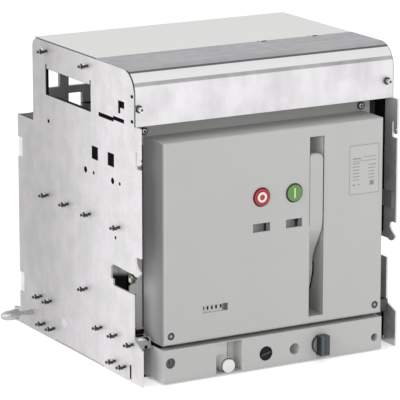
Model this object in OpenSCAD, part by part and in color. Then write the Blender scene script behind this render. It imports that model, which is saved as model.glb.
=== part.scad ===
// Three-pole withdrawable air switch disconnector in its sheet steel cradle.
// X runs across the front, Y runs from the front to the back, Z is up.
// The origin is at the middle of the footprint, on the floor.

/* [Cradle] */
// Width over the outer faces of the two side plates
cradle_w = 380; // [370:1:390]
// Height of the side plates
cradle_h = 399.3; // [397:0.1:402]
// Depth of the side plates at floor level, without the rear foot
cradle_d = 344.3; // [343:0.1:348]
// Depth of the upper part of the side plates
upper_d = 297.3; // [296:0.1:300]
// Thickness of the galvanised side plates
sheet = 2.5; // [2:0.5:3]
// Thickness of the hood sheet
hood_sheet = 1.5; // [1.5:0.5:2]
// Height of the lower edge of the hood
hood_z = 330.8; // [329:0.1:332]
// Outer radius of the bend between the top and the front of the hood
hood_r = 29; // [26:1:31]

/* [Switch unit] */
// Width of the front cover
cover_w = 324; // [318:2:328]
// Lower edge of the front cover
cover_z = 50.5; // [50:0.5:52]
// Height of the front cover
cover_h = 260; // [256:1:262]
// Depth of the front cover
cover_d = 52; // [50:1:54]
// Wall thickness of the front cover
cover_wall = 3; // [2.5:0.5:3]
// Width of the grey panel behind the front cover
panel_w = 346; // [342:2:350]
// Diameter of the two push buttons
button_d = 23.4; // [22:0.2:24]
// Stroke of the two push buttons
button_stroke = 4; // [3:0.5:4]
// Width of the recess for the charging handle
recess_w = 21.6; // [21:0.2:23]

/* [Lower panel] */
// Width of the lower panel
low_w = 324; // [318:2:328]
// Height of the lower panel
low_h = 43.5; // [42:0.5:43.5]
// Radius of the crank hole
crank_r = 7.5; // [7:0.25:8]
// Radius of the position dial
dial_r = 9.2; // [8.5:0.1:9.4]
// Radius of the selector knob
knob_r = 12.5; // [12:0.25:13.5]

/* [Power terminals] */
// Distance between neighbouring poles
pole_pitch = 110; // [105:1:112]
// Width of a terminal bar
terminal_w = 60; // [50:1:64]
// Thickness of a terminal bar
terminal_t = 15; // [10:1:16]
// Length of a terminal bar behind the rear base
terminal_out = 54.7; // [50:0.1:58]
// Radius of the bolt holes in the terminal bars
terminal_hole_r = 5.5; // [5:0.25:6]

/* [Hidden] */

eps = 0.1;
half_w = cradle_w / 2;
inner_x = half_w - sheet;

// front-most and rear-most faces, measured from the front edges of the side plates
knob_front = 21;
terminal_end = cradle_d + terminal_out;
y_front = (knob_front - terminal_end) / 2;

// side plate outline
// front edge of the side plates: above the opening, and at the foot
upper_y = 1.3;
foot_y = -1.3;
step_y = 16.2;
mid_y = 21.3;
window_y = 134.8;
window_len = 121.5;
window_z = 329;
window_h = 35;
rear_low_z = 288.3;
corner_r = 12;
lug_z = [45, 231];
lug_h = 27;

// studs that come through each side plate: distance from the front and height
stud_places = [[255.3, 387.3], [139.3, 387.3], [256.3, 195.3], [198.3, 195.3], [136.3, 195.3],
    [56.3, 195.3], [147.3, 94.3], [279.3, 52.3], [250.8, 52.3], [270.3, 16.8], [242.3, 16.8],
    [106.8, 52.3], [65.8, 52.3], [70.3, 16.8], [42.3, 16.8]];
// one more stud close to the front edge of the left plate
front_stud = [22, 50.9];
// line where the hood ends and the top cover starts
hood_end_y = 116.9;
cover_top_y = 117.4;
cover_top_t = 1.5;
cover_top_len = 173;
stud_len = 13.7;
stud_r = 1.9;
stud_nut = 4.6;
stud_nut_len = 4.7;
hood_screw_x = [-185.4, 177.8];
hood_screw_y = 4;
hood_screw_z = 354;
hood_screw_r = 3;
hood_nut_r = 4.8;
hood_nut_len = 4;
earth_y = 307.3;
earth_z = 23.3;
earth_r = 3.3;
earth_cap = 24;
earth_len = 47.5;
// stretch of the floor flange where the base pan reaches the outer face
pan_y = 102.3;
pan_front = 38;
pan_len = 137;

// front cover
face_y = -7;
cover_r = 4;
panel_y = face_y + cover_d;
panel_t = 3;
panel_screw_x = [-161.2, 158.6];
panel_screw_z = 317.7;
off_x = -20.6;
on_x = 27.5;
button_z = 227.3;
button_gap = 0.9;
cover_screw_x = 151.4;
cover_screw_z = 63;
button_head = 2;
flag_1 = [-33, 182, 25.2, 11.3];
flag_2 = [15.6, 182, 24, 11.3];
counter_box = [-106, 86.5, 36.6, 9.6];
plate_box = [110, 213.8, 44.8, 65];
recess_x = 61.2;
recess_z = 60.5;
recess_h = 236.5;
well_wall = 2;
well_d = 60;

// charging handle
lever_x = 50.8;
lever_w = 18.8;
lever_t = 9;
pivot_y = 41;
pivot_z = 84;
pivot_r = 9;
pin_r = 3;

// lower panel and what is set in it
low_z = 2;
low_y = -7.5;
low_d = 35.5;
low_wall = 3;
crank_x = 29.8;
crank_z = 20.8;
crank_len = 20;
dial_x = -13.2;
dial_z = 20.9;
knob_x = 67.8;
knob_z = 22.4;
release_x = -67;
release_y = -6;
release_z = 11.6;
release_r = 8.8;
release_guide = 10.2;
release_guide_y = -2.7;
pocket_x = -86.5;
pocket_w = 38.5;
pocket_d = 22;
lock_x = -152.3;
lock_z = 28;
lock_r = 7;
screw_hole_x = 151.5;
screw_hole_z = 19;
screw_hole_r = 5.2;

// rails and switch housing
rail_shelf_z = 57;
rail_z = 44;
rail_x = 168;
rail_end_y = 17;
latch_x = 167.5;
latch_z = 44.5;
latch_top = 60;
pad_t = 2.5;
gearbox_x = 161;
housing_x = 163;
housing_y = panel_y + panel_t;
housing_end = 284;
housing_z = 52;
housing_top = 296;
rear_y = 290;
bar_in = 306;
upper_bar_z = 215;
lower_bar_z = 110;

// points on an arc from angle a to angle b
function arc(cy, cz, r, a, b, n = 10) =
    [for (i = [0:n]) [cy + r * cos(a + (b - a) * i / n), cz + r * sin(a + (b - a) * i / n)]];

// outline of a side plate, as distance from the front and height
plate_outline = concat(
    [[foot_y, 0], [cradle_d + 18, 0], [cradle_d + 18, 18.3], [cradle_d, 20.3]],
    // bends of the two lugs
    [for (z = lug_z, p = [[0, -1], [-3, 1], [-3, lug_h - 1], [0, lug_h + 1]]) [cradle_d + p[0], z + p[1]]],
    [[cradle_d, rear_low_z], [upper_d, rear_low_z]],
    arc(upper_d - corner_r, cradle_h - corner_r, corner_r, 0, 90),
    arc(step_y + hood_r, cradle_h - hood_r, hood_r, 90, 180, 16),
    // front edge down to the hooked strip
    [[step_y, hood_z], [upper_y, hood_z], [upper_y, 292], [3.3, 291.5], [3.3, 289.9]],
    [[upper_y, 289.4], [upper_y, 286], [3.4, 283.9], [7.3, 283.9], [9.4, 286]],
    [[9.4, 299.8], [12.4, 299.8], [12.4, 280.4], [10.9, 278.9], [upper_y, 278.9]],
    // notch over the tooth, then the tooth
    [[upper_y, 166.3], [9, 166.6], [13, 165.4], [14.8, 162.5], [14.9, 158.7], [11.5, 154.2]],
    [[6.3, 150.5], [3, 148.6], [2.2, 147], [5, 144], [10, 140.7], [15.4, 140.4]],
    [[19.6, 142.3], [33.9, 142.1], [60.6, 143.2], [74.1, 143.2], [80.4, 138.6], [80.4, 124]],
    [[74.5, 123.6], [74.5, 115.8], [mid_y, 115.8], [mid_y, 55.8], [foot_y, 47.3]]);

// a shape drawn as (distance from the front, height), given a thickness along X
module along_x(x, t) {
    translate([x, 0, 0])
        rotate([90, 0, 90])
            linear_extrude(t)
                children();
}

// a shape drawn as (x, height), given a thickness towards the back from y
module along_y(y, t) {
    translate([0, y + t, 0])
        rotate([90, 0, 0])
            linear_extrude(t)
                children();
}

// a round bar along Y that starts at y
module bar_y(x, y, z, r, len) {
    translate([x, y, z])
        rotate([-90, 0, 0])
            cylinder(r = r, h = len, $fn = 64);
}

// a round bar along X that starts at x
module bar_x(x, y, z, r, len) {
    translate([x, y, z])
        rotate([0, 90, 0])
            cylinder(r = r, h = len, $fn = 48);
}

// a six-sided nut along X
module nut_x(x, y, z, flats, len) {
    translate([x, y, z])
        rotate([0, 90, 0])
            cylinder(d = flats / cos(30), h = len, $fn = 6);
}

// a box from its low corner and its size
module box(x, y, z, w, d, h) {
    translate([x, y, z])
        cube([w, d, h]);
}

// moves what is drawn from the front edges of the side plates to the origin
module placed() {
    translate([0, y_front, 0])
        children();
}

// the cut-outs of a side plate
module plate_cuts() {
    // large window with a relief slot at each upper corner
    translate([window_y, window_z])
        square([window_len, window_h]);
    translate([window_y - 3, window_z])
        square([3, window_h + 6]);
    translate([window_y + window_len, window_z])
        square([3, window_h + 6]);
    // slot for the shutter lever, a step lower towards the back
    translate([42.3, 330.3])
        square([29, 5.2]);
    translate([70.3, 327.8])
        square([40.4, 5.5]);
    // keyhole with its square head
    translate([52.3, 341.3])
        square([5.5, 16.5]);
    translate([41.8, 349])
        square([16, 8.8]);
    // pair of square windows
    for (y = [113.3, 69.8])
        translate([y, 269.3])
            square(17);
    // small square hole
    translate([249.3, 292.8])
        square([5.6, 4.6]);
    // slot near the front foot
    translate([26.7, 3.8])
        square([4.4, 18.5]);
    for (h = [[147.9, 251.3, 4.2], [125.5, 251.3, 2.4], [74, 251.3, 4.2], [55, 251.3, 2.4],
        [67.5, 179.3, 2.4]])
        translate([h[0], h[1]])
            circle(r = h[2], $fn = 40);
    // shallow notch in the floor edge that the base pan fills
    translate([pan_y, -1])
        square([pan_len, 3.6]);
    // holes that the hood tabs pass through
    for (z = [334.8, 366.3])
        translate([18.3, z])
            square([6.5, 4]);
}

module side_plate() {
    color("lightgray") placed() {
        along_x(-half_w, sheet)
            difference() {
                polygon(plate_outline);
                plate_cuts();
            }
        // lip bent inwards along the lower edge of the window
        box(-inner_x, window_y + 1.5, window_z - sheet, 5, window_len - 18, sheet);
        // two lugs bent inwards behind the rear base
        for (z = lug_z)
            box(-inner_x, cradle_d - sheet, z + 1, 16, sheet, lug_h - 2);
        // ear behind the hood that carries the stud of the hood nut
        box(-inner_x, step_y, 343.3, 9, sheet, 22);
    }
}

module left_side_plate() {
    side_plate();
}

module right_side_plate() {
    mirror([1, 0, 0])
        side_plate();
}

// the hood's section: front, bend and top, resting on the edges of the side plates
hood_out = concat(
    [[step_y - hood_sheet, hood_z]],
    arc(step_y + hood_r, cradle_h - hood_r, hood_r + hood_sheet, 180, 90, 16),
    [[hood_end_y, cradle_h + hood_sheet]]);
hood_in = concat(
    [[hood_end_y, cradle_h]],
    arc(step_y + hood_r, cradle_h - hood_r, hood_r, 90, 180, 16),
    [[step_y, hood_z]]);

module hood() {
    color("gainsboro") placed()
        difference() {
            along_x(-half_w + 0.5, cradle_w - 1)
                polygon(concat(hood_out, hood_in));
            // clearance holes of the two hood studs
            for (x = hood_screw_x)
                bar_y(x, 0, hood_screw_z, hood_screw_r + 0.1, 60);
        }
}

module top_cover() {
    color("whitesmoke") placed() {
        box(-half_w + 1, cover_top_y, cradle_h, cradle_w - 2, cover_top_len, cover_top_t);
        // downward ribs between the plates
        for (y = [cover_top_y + 2, 273])
            box(-inner_x + 1, y, cradle_h - 8, 2 * inner_x - 2, 3, 8);
        // two tabs over the back edge of the hood
        for (x = [50, 126])
            box(x - 3, cover_top_y - 2.5, cradle_h + cover_top_t, 6, 5, 0.6);
    }
}

module rear_base() {
    color("dimgray") placed()
        difference() {
            union() {
                box(-inner_x, rear_y, 2, 2 * inner_x, cradle_d - sheet - rear_y, rear_low_z - 2);
                box(-inner_x + 18, cradle_d - sheet, 2, 2 * inner_x - 36, sheet, rear_low_z - 2);
            }
            // an opening for each terminal bar
            for (i = [-1:1])
                for (z = [lower_bar_z, upper_bar_z])
                    box(i * pole_pitch - terminal_w / 2, rear_y, z - terminal_t / 2,
                        terminal_w, 80, terminal_t);
        }
}

// insulating bridge on the rear base, with two posts under the top cover
bridge_y = 291.3;
bridge_top = 330;
post_x = [-153, 135];

module rear_bridge() {
    color("dimgray") placed()
        along_y(bridge_y, 6)
            difference() {
                union() {
                    polygon([[-inner_x, rear_low_z], [inner_x, rear_low_z], [inner_x, 320],
                        [172, bridge_top], [-172, bridge_top], [-inner_x, 320]]);
                    for (x = post_x)
                        translate([x, bridge_top - 1])
                            square([13, cradle_h - bridge_top + 1]);
                }
                // openings beside the posts
                for (x = [-140.3, 119.9])
                    translate([x, 291])
                        square([20.4, 29.3]);
            }
}

module base_pan() {
    color("silver") placed()
        difference() {
            union() {
                box(-inner_x, pan_front, 0, 2 * inner_x, rear_y + 42 - pan_front, 2);
                box(-half_w, pan_y + 0.5, 0, cradle_w, pan_len - 1, 2);
            }
            for (s = [-1, 1])
                for (y = [50, 270])
                    translate([s * 168, y, -1])
                        cylinder(r = 5, h = 4, $fn = 40);
        }
}

module guide_rail() {
    color("silver") placed() {
        box(-inner_x, 30, rail_z, 3, rear_y - 32, rail_shelf_z + 3 - rail_z);
        box(-inner_x + 3, 30, rail_shelf_z, inner_x - rail_x - 3, rear_y - 32, 3);
    }
}

module left_guide_rail() {
    guide_rail();
}

module right_guide_rail() {
    mirror([1, 0, 0])
        guide_rail();
}

// end plate of a guide rail, with the hole of its locking pin
module rail_latch() {
    color("gray") placed()
        difference() {
            union() {
                along_y(rail_end_y, 3)
                    polygon(concat([[-inner_x, latch_z], [-latch_x, latch_z]],
                        arc(-latch_x - 5, latch_top - 5, 5, 0, 90, 8), [[-inner_x, latch_top]]));
                box(-inner_x, rail_end_y + 3, latch_z, 3, 30 - rail_end_y - 3, latch_top - latch_z);
            }
            bar_y(-173.4, 0, 47, 1.6, 60);
        }
}

module left_rail_latch() {
    rail_latch();
}

module right_rail_latch() {
    mirror([1, 0, 0])
        rail_latch();
}

// small zinc-plated pawl on the inner face of the left plate, seen through its opening
module locking_pawl() {
    color("darkkhaki") placed()
        difference() {
            along_x(-inner_x, 4)
                polygon([[27.5, 130], [29.5, 127.6], [35.5, 127.4], [37.8, 130], [37.8, 134],
                    [44, 147], [36, 149], [31, 138], [24, 137.6], [22, 136.6], [22, 134.4],
                    [27, 133.6]]);
            bar_x(-half_w, 32.6, 131.3, 1.5, 20);
        }
}

// earthing bolt with a washer and a domed cap nut at its outer end
module earth_bolt() {
    color("silver") placed()
        translate([-half_w, earth_y, earth_z])
            rotate([0, -90, 0]) {
                cylinder(r = earth_r, h = earth_cap + 2, $fn = 48);
                translate([0, 0, earth_cap - 1.6])
                    cylinder(r = 8.6, h = 1.6, $fn = 48);
                translate([0, 0, earth_cap])
                    cylinder(d = 13 / cos(30), h = 6, $fn = 6);
                rotate_extrude($fn = 48)
                    polygon([[0, earth_cap], [6.8, earth_cap], [6.8, 36], [6.2, 40], [4.9, 43.6],
                        [2.8, 46.4], [0, earth_len]]);
            }
}

module left_earth_bolt() {
    earth_bolt();
}

module right_earth_bolt() {
    mirror([1, 0, 0])
        earth_bolt();
}

module plate_studs(places) {
    color("gray") placed()
        for (p = places) {
            bar_x(-half_w - stud_len, p[0], p[1], stud_r, stud_len);
            nut_x(-half_w - stud_nut - stud_nut_len, p[0], p[1], 7, stud_nut_len);
        }
}

module left_plate_studs() {
    plate_studs(concat(stud_places, [front_stud]));
}

module right_plate_studs() {
    mirror([1, 0, 0])
        plate_studs(stud_places);
}

module hood_screws() {
    color("gray") placed()
        for (x = hood_screw_x) {
            bar_y(x, hood_screw_y, hood_screw_z, hood_screw_r, step_y - hood_screw_y);
            bar_y(x, step_y - hood_sheet - hood_nut_len, hood_screw_z, hood_nut_r, hood_nut_len);
        }
}

// steel housing of the racking mechanism behind the lower panel
module racking_gearbox() {
    color("darkgray") placed() {
        box(-gearbox_x, low_y + low_d, 2, 2 * gearbox_x, 90, 41);
        // end of the racking spindle, reached through the crank hole
        bar_y(crank_x, 16, crank_z, 4.5, low_y + low_d - 16);
    }
}

module lower_panel() {
    color("silver") placed()
        difference() {
            union() {
                difference() {
                    box(-low_w / 2, low_y, low_z, low_w, low_d, low_h);
                    box(-low_w / 2 + low_wall, low_y + low_wall, low_z - 1,
                        low_w - 2 * low_wall, low_d, low_h - low_wall + 1);
                }
                bar_y(crank_x, low_y + 1, crank_z, crank_r + 2.5, crank_len - 1);
                bar_y(dial_x, low_y + 1, dial_z, dial_r + 2.5, 8);
                bar_y(knob_x, low_y + 1, knob_z, 7, 9);
                bar_y(lock_x, low_y + 1, lock_z, lock_r + 2.5, 14);
                bar_y(screw_hole_x, low_y + 1, screw_hole_z, screw_hole_r + 2.5, 14);
                // walls of the pocket around the release button
                box(pocket_x - 2.5, low_y + 1, low_z, pocket_w + 5, pocket_d + 1.5, low_h);
            }
            difference() {
                box(pocket_x, low_y - 1, low_z + 2, pocket_w, pocket_d + 1, low_h - 3);
                // guide tube of the release button
                bar_y(release_x, release_guide_y, release_z, release_guide, 40);
            }
            bar_y(release_x, low_y - 1, release_z, release_r + 0.4, 40);
            bar_y(crank_x, low_y - 1, crank_z, crank_r, crank_len + 5);
            bar_y(dial_x, low_y - 1, dial_z, dial_r + 0.4, 5);
            bar_y(dial_x, low_y - 1, dial_z, 3.3, 20);
            bar_y(knob_x, low_y - 1, knob_z, 4.3, 20);
            bar_y(lock_x, low_y - 1, lock_z, lock_r, 14);
            bar_y(screw_hole_x, low_y - 1, screw_hole_z, screw_hole_r, 14);
        }
}

module selector_knob() {
    color("darkslategray") placed() {
        bar_y(knob_x, low_y - 3, knob_z, knob_r, 2.5);
        box(knob_x - 6.8, -knob_front, knob_z - 13, 13.6, knob_front + low_y - 2, 26);
        bar_y(knob_x, low_y - 1, knob_z, 4, 14);
    }
}

module position_dial() {
    color([0.1, 0.1, 0.11]) placed() {
        bar_y(dial_x, low_y + 0.5, dial_z, dial_r, 3);
        bar_y(dial_x, low_y + 1, dial_z, 3, 13);
        // raised pointer bar
        translate([dial_x, 0, dial_z])
            rotate([0, -14, 0])
                translate([-dial_r + 1.5, low_y - 0.8, -1.6])
                    cube([2 * dial_r - 3, 1.5, 3.2]);
    }
}

module release_button() {
    color("white") placed()
        bar_y(release_x, release_y, release_z, release_r, 22);
}

module terminal(i, z) {
    color("peru") placed()
        difference() {
            box(i * pole_pitch - terminal_w / 2, bar_in, z - terminal_t / 2,
                terminal_w, terminal_end - bar_in, terminal_t);
            for (s = [-1, 1])
                translate([i * pole_pitch + s * 15, terminal_end - 20, z - terminal_t])
                    cylinder(r = terminal_hole_r, h = 2 * terminal_t, $fn = 40);
        }
}

module upper_terminal_1() {
    terminal(-1, upper_bar_z);
}

module upper_terminal_2() {
    terminal(0, upper_bar_z);
}

module upper_terminal_3() {
    terminal(1, upper_bar_z);
}

module lower_terminal_1() {
    terminal(-1, lower_bar_z);
}

module lower_terminal_2() {
    terminal(0, lower_bar_z);
}

module lower_terminal_3() {
    terminal(1, lower_bar_z);
}

// a pad with two holes on the inner face of each side plate, a stop for the switch unit
module stop_blocks() {
    color("gray") placed()
        for (s = [-1, 1])
            difference() {
                box(s * (inner_x - pad_t / 2) - pad_t / 2, 8, 185, pad_t, 32, 21);
                for (z = [193.3, 203.2])
                    bar_x(s * (inner_x - pad_t) - 1, 19.4, z, 1.4, 2);
            }
}

module switch_housing() {
    color([0.25, 0.25, 0.26]) placed()
        difference() {
            box(-housing_x, housing_y, housing_z, 2 * housing_x, housing_end - housing_y,
                housing_top - housing_z);
            // room for the well of the charging handle
            box(recess_x - 16, housing_y - 1, recess_z - 4, 32, 14, recess_h + 8);
        }
}

// one arc chute over each pole
module arc_chutes() {
    color([0.35, 0.34, 0.33]) placed()
        for (i = [-1:1])
            box(i * pole_pitch - 48, housing_y + 60, housing_top, 96, 144, 8);
}

module side_runners() {
    color("silver") placed()
        for (s = [-1, 1])
            box(s * (housing_x + 7) - 7, housing_y + 12, rail_shelf_z + 3.3, 14, 210, 9);
}

module inner_panel() {
    color([0.5, 0.5, 0.49]) placed()
        difference() {
            union() {
                box(-panel_w / 2, panel_y, 62, panel_w, panel_t, 262);
                // locking lugs at both sides
                along_y(panel_y, panel_t)
                    polygon([[-182.4, 109], [182.4, 109], [182.4, 119], [180, 122], [170, 125],
                        [-170, 125], [-180, 122], [-182.4, 119]]);
            }
            box(recess_x - 14, panel_y - 1, recess_z - 4, 28, panel_t + 2, recess_h + 8);
            for (x = panel_screw_x)
                bar_y(x, panel_y - 1, panel_screw_z, 2, 10);
        }
}

module inner_panel_screws() {
    color("gray") placed()
        for (x = panel_screw_x)
            bar_y(x, panel_y - 2.5, panel_screw_z, 5, 2.5);
}

// the front cover's outer form, with its front edges rounded
module cover_form(inset) {
    r = cover_r - min(inset, cover_r - 1);
    w = cover_w - 2 * inset;
    h = cover_h - 2 * inset;
    intersection() {
        translate([0, 0, cover_z + inset])
            linear_extrude(h)
                union() {
                    translate([-w / 2 + r, face_y + inset])
                        square([w - 2 * r, cover_d]);
                    translate([-w / 2, face_y + inset + r])
                        square([w, cover_d - r]);
                    for (s = [-1, 1])
                        translate([s * (w / 2 - r), face_y + inset + r])
                            circle(r = r, $fn = 48);
                }
        along_x(-w / 2, w)
            union() {
                translate([face_y + inset, cover_z + inset + r])
                    square([cover_d, h - 2 * r]);
                translate([face_y + inset + r, cover_z + inset])
                    square([cover_d - r, h]);
                for (z = [cover_z + inset + r, cover_z + inset + h - r])
                    translate([face_y + inset + r, z])
                        circle(r = r, $fn = 48);
            }
    }
}

// a window through the front wall, from its low corner, width and height
module face_window(b, margin = 0) {
    box(b[0] - margin, face_y - 1, b[1] - margin, b[2] + 2 * margin, 10, b[3] + 2 * margin);
}

module front_cover() {
    color("silver") placed()
        difference() {
            union() {
                difference() {
                    intersection() {
                        cover_form(0);
                        box(-cover_w, face_y, 0, 2 * cover_w, cover_d, 400);
                    }
                    intersection() {
                        cover_form(cover_wall);
                        box(-cover_w, face_y, 0, 2 * cover_w, cover_d + 1, 400);
                    }
                }
                // guide sleeves behind the two push buttons
                for (x = [off_x, on_x])
                    bar_y(x, face_y + 1, button_z, button_d / 2 + button_gap + 2, 12);
                // sleeves for the cover screws
                for (s = [-1, 1])
                    bar_y(s * cover_screw_x, face_y + 1, cover_screw_z, 7, 14);
            }
            for (x = [off_x, on_x])
                bar_y(x, face_y - 2, button_z, button_d / 2 + button_gap, 40);
            for (s = [-1, 1])
                bar_y(s * cover_screw_x, face_y - 1, cover_screw_z, 5, 5);
            face_window(flag_1);
            face_window(flag_2);
            face_window(counter_box);
            box(recess_x - recess_w / 2, face_y - 1, recess_z, recess_w, 10, recess_h);
        }
}

// tub behind the handle opening, with bearings for the handle's pin
module handle_well() {
    color("gray") placed()
        difference() {
            box(recess_x - recess_w / 2 - well_wall, face_y + cover_wall, recess_z - well_wall,
                recess_w + 2 * well_wall, well_d, recess_h + 2 * well_wall);
            box(recess_x - recess_w / 2, face_y - 1, recess_z, recess_w,
                well_d - well_wall + cover_wall + 1, recess_h);
            bar_x(recess_x - recess_w, pivot_y, pivot_z, pin_r + 0.05, 2 * recess_w);
        }
}

module cover_screws() {
    color("gray") placed()
        for (s = [-1, 1])
            difference() {
                bar_y(s * cover_screw_x, face_y + 1, cover_screw_z, 4.6, 3);
                box(s * cover_screw_x - 3.4, face_y, cover_screw_z - 0.6, 6.8, 2, 1.2);
            }
}

module rating_plate() {
    color("whitesmoke") placed()
        box(plate_box[0], face_y - 0.4, plate_box[1], plate_box[2], 0.4, plate_box[3]);
}

module operation_counter() {
    color([0.15, 0.15, 0.16]) placed()
        box(counter_box[0] - 2, face_y + cover_wall, counter_box[1] - 2,
            counter_box[2] + 4, 9, counter_box[3] + 4);
}

module flag(b) {
    color([0.2, 0.2, 0.2]) placed()
        box(b[0] - 2, face_y + cover_wall, b[1] - 2, b[2] + 4, 6, b[3] + 4);
}

module charge_flag() {
    flag(flag_1);
}

module contact_flag() {
    flag(flag_2);
}

// push button with a rounded rim
module push_button(x, c) {
    color(c) placed() {
        bar_y(x, face_y - button_head + 1, button_z, button_d / 2, 14);
        bar_y(x, face_y - button_head, button_z, button_d / 2 - 1, 1);
    }
}

module off_button() {
    push_button(off_x, "firebrick");
}

module on_button() {
    push_button(on_x, "seagreen");
}

// side view of the handle: flat grip in the cover's plane, then a bend back to the pivot
grip_top = 274.6;
grip_front = face_y - 1;
lever_front = [[grip_front, 190], [-7.6, 184], [-5, 173], [2.7, 157.7], [11, 144], [15.5, 133],
    [16.2, 126], [15.8, 118], [16.8, 110], [19.5, 100.6], [24, 88], [pivot_y - pivot_r, pivot_z]];
lever_back = [[pivot_y + pivot_r, pivot_z], [40, 104], [33, 118], [31, 132], [24, 147], [13, 162],
    [5, 174], [grip_front + lever_t, 186]];

module charging_handle() {
    color("silver") placed() {
        intersection() {
            along_x(lever_x, lever_w)
                polygon(concat(
                    arc(grip_front + lever_t / 2, grip_top - lever_t / 2, lever_t / 2, 0, 180),
                    lever_front, lever_back));
            // rounded upper corners of the grip
            along_y(-20, 100)
                union() {
                    translate([lever_x, 0])
                        square([lever_w, grip_top - 8]);
                    translate([lever_x + 5, 0])
                        square([lever_w - 13, grip_top]);
                    translate([lever_x + 5, grip_top - 5])
                        circle(r = 5, $fn = 48);
                    translate([lever_x, 0])
                        square([5, grip_top - 5]);
                    translate([lever_x + lever_w - 8, grip_top - 8])
                        circle(r = 8, $fn = 64);
                }
        }
        bar_x(lever_x, pivot_y, pivot_z, pivot_r, lever_w);
        bar_x(recess_x - recess_w / 2 - well_wall, pivot_y, pivot_z, pin_r,
            recess_w + 2 * well_wall);
    }
}

left_side_plate();
right_side_plate();
hood();
top_cover();
rear_base();
rear_bridge();
base_pan();
left_guide_rail();
right_guide_rail();
left_rail_latch();
right_rail_latch();
locking_pawl();
left_earth_bolt();
right_earth_bolt();
left_plate_studs();
right_plate_studs();
hood_screws();
racking_gearbox();
lower_panel();
selector_knob();
position_dial();
release_button();
upper_terminal_1();
upper_terminal_2();
upper_terminal_3();
lower_terminal_1();
lower_terminal_2();
lower_terminal_3();
stop_blocks();
switch_housing();
arc_chutes();
side_runners();
inner_panel();
inner_panel_screws();
front_cover();
handle_well();
cover_screws();
rating_plate();
operation_counter();
charge_flag();
contact_flag();
off_button();
on_button();
charging_handle();
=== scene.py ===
# %% [markdown]
# # A withdrawable switch disconnector, dressed for its portrait
# The real object is a switch unit behind a grey moulded cover, which slides in a cradle of
# galvanised sheet. The shapes come ready made from the CAD frame, so this lesson is about what a
# frame can't have: finishes, small trim, screws, signs and light. We load the frame first.
# Nothing we add may grow beyond it.

# %% Load the frame
import math
import random

import bmesh
import bpy
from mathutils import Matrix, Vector


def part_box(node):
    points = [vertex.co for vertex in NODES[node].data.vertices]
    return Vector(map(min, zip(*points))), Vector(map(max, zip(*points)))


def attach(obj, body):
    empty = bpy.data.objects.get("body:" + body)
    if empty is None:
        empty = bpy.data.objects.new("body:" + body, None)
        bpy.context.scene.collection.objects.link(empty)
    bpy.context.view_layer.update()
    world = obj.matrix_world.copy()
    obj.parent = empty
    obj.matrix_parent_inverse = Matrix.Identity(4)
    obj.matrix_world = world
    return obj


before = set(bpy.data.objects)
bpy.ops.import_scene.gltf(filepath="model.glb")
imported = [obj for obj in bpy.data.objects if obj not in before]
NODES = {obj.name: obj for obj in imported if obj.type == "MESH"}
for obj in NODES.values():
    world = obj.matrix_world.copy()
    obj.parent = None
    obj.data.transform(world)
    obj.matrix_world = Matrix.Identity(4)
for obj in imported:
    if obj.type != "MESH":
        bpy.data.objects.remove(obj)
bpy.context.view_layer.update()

# %% [markdown]
# ## One ruler for everything
# A fitter measures the real cradle from the front edges of its side plates. We do the same: x
# from the middle, y back from those edges, z up from the floor, in millimetres. One function
# turns such a place into metres, and one reads a node's corners.

# %% The ruler
COVER_STANDS_OUT = 0.007
EDGE_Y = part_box("front_cover")[0][1] + COVER_STANDS_OUT


def place(x, y, z):
    """A place on the cradle in millimetres, as metres in the frame."""
    return Vector((x / 1000, EDGE_Y + y / 1000, z / 1000))


def corners(node):
    """Low and high corner of a node's box, in the fitter's millimetres."""
    return [(v[0] * 1000, (v[1] - EDGE_Y) * 1000, v[2] * 1000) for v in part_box(node)]


def middle(node):
    """Middle of a node's box, in the fitter's millimetres."""
    return [(low + high) / 2 for low, high in zip(*corners(node))]


HALF_W = corners("right_side_plate")[1][0]
FACE_Y = corners("front_cover")[0][1]
PANEL_FRONT = corners("lower_panel")[0][1]
SIDES = (-1, 1)
print("half width:", round(HALF_W, 1), "cover face at", round(FACE_Y, 1))

# %% [markdown]
# ## Effects that several finishes share
# Sheet, plastic and screws look real because their colour and gloss are never quite even. Drawn
# again in every material, such an effect would have to be changed many times. A shader node group
# is built once and placed in each material with its own numbers. The groups put out masks, tones
# or heights; the shader itself stays in the material.

# %% Helpers for node trees
def new_group(name, inputs, outputs):
    """Empty shader group; an input's own value tells a number from a vector."""
    group = bpy.data.node_groups.new(name, "ShaderNodeTree")
    for label, value in inputs.items():
        kind = "NodeSocketVector" if isinstance(value, tuple) else "NodeSocketFloat"
        group.interface.new_socket(label, in_out="INPUT", socket_type=kind).default_value = value
    for label in outputs:
        group.interface.new_socket(label, in_out="OUTPUT", socket_type="NodeSocketFloat")
    enter, leave = group.nodes.new("NodeGroupInput"), group.nodes.new("NodeGroupOutput")
    return group, enter.outputs, leave.inputs


def fill(tree, socket, value):
    """Links a socket, or sets it to a plain value."""
    if isinstance(value, bpy.types.NodeSocket):
        tree.links.new(value, socket)
    else:
        socket.default_value = value


def add_node(tree, kind, inputs=None, **settings):
    """A node with its settings; inputs are sockets or plain values."""
    node = tree.nodes.new(kind)
    for key, value in settings.items():
        setattr(node, key, value)
    for key, value in (inputs or {}).items():
        fill(tree, node.inputs[key], value)
    return node


def calc(tree, operation, a, b=0.0, clamp=False):
    """One step of arithmetic."""
    return add_node(tree, "ShaderNodeMath", {0: a, 1: b}, operation=operation, use_clamp=clamp).outputs[0]


def times(tree, *factors):
    """Product of masks."""
    product = factors[0]
    for factor in factors[1:]:
        product = calc(tree, "MULTIPLY", product, factor)
    return product


def spread(tree, value, low, high, to_low=0.0, to_high=1.0):
    """Maps a value from one span to another, and stops at the ends."""
    return add_node(tree, "ShaderNodeMapRange", {"Value": value, "From Min": low, "From Max": high,
                                                 "To Min": to_low, "To Max": to_high}).outputs[0]


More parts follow.
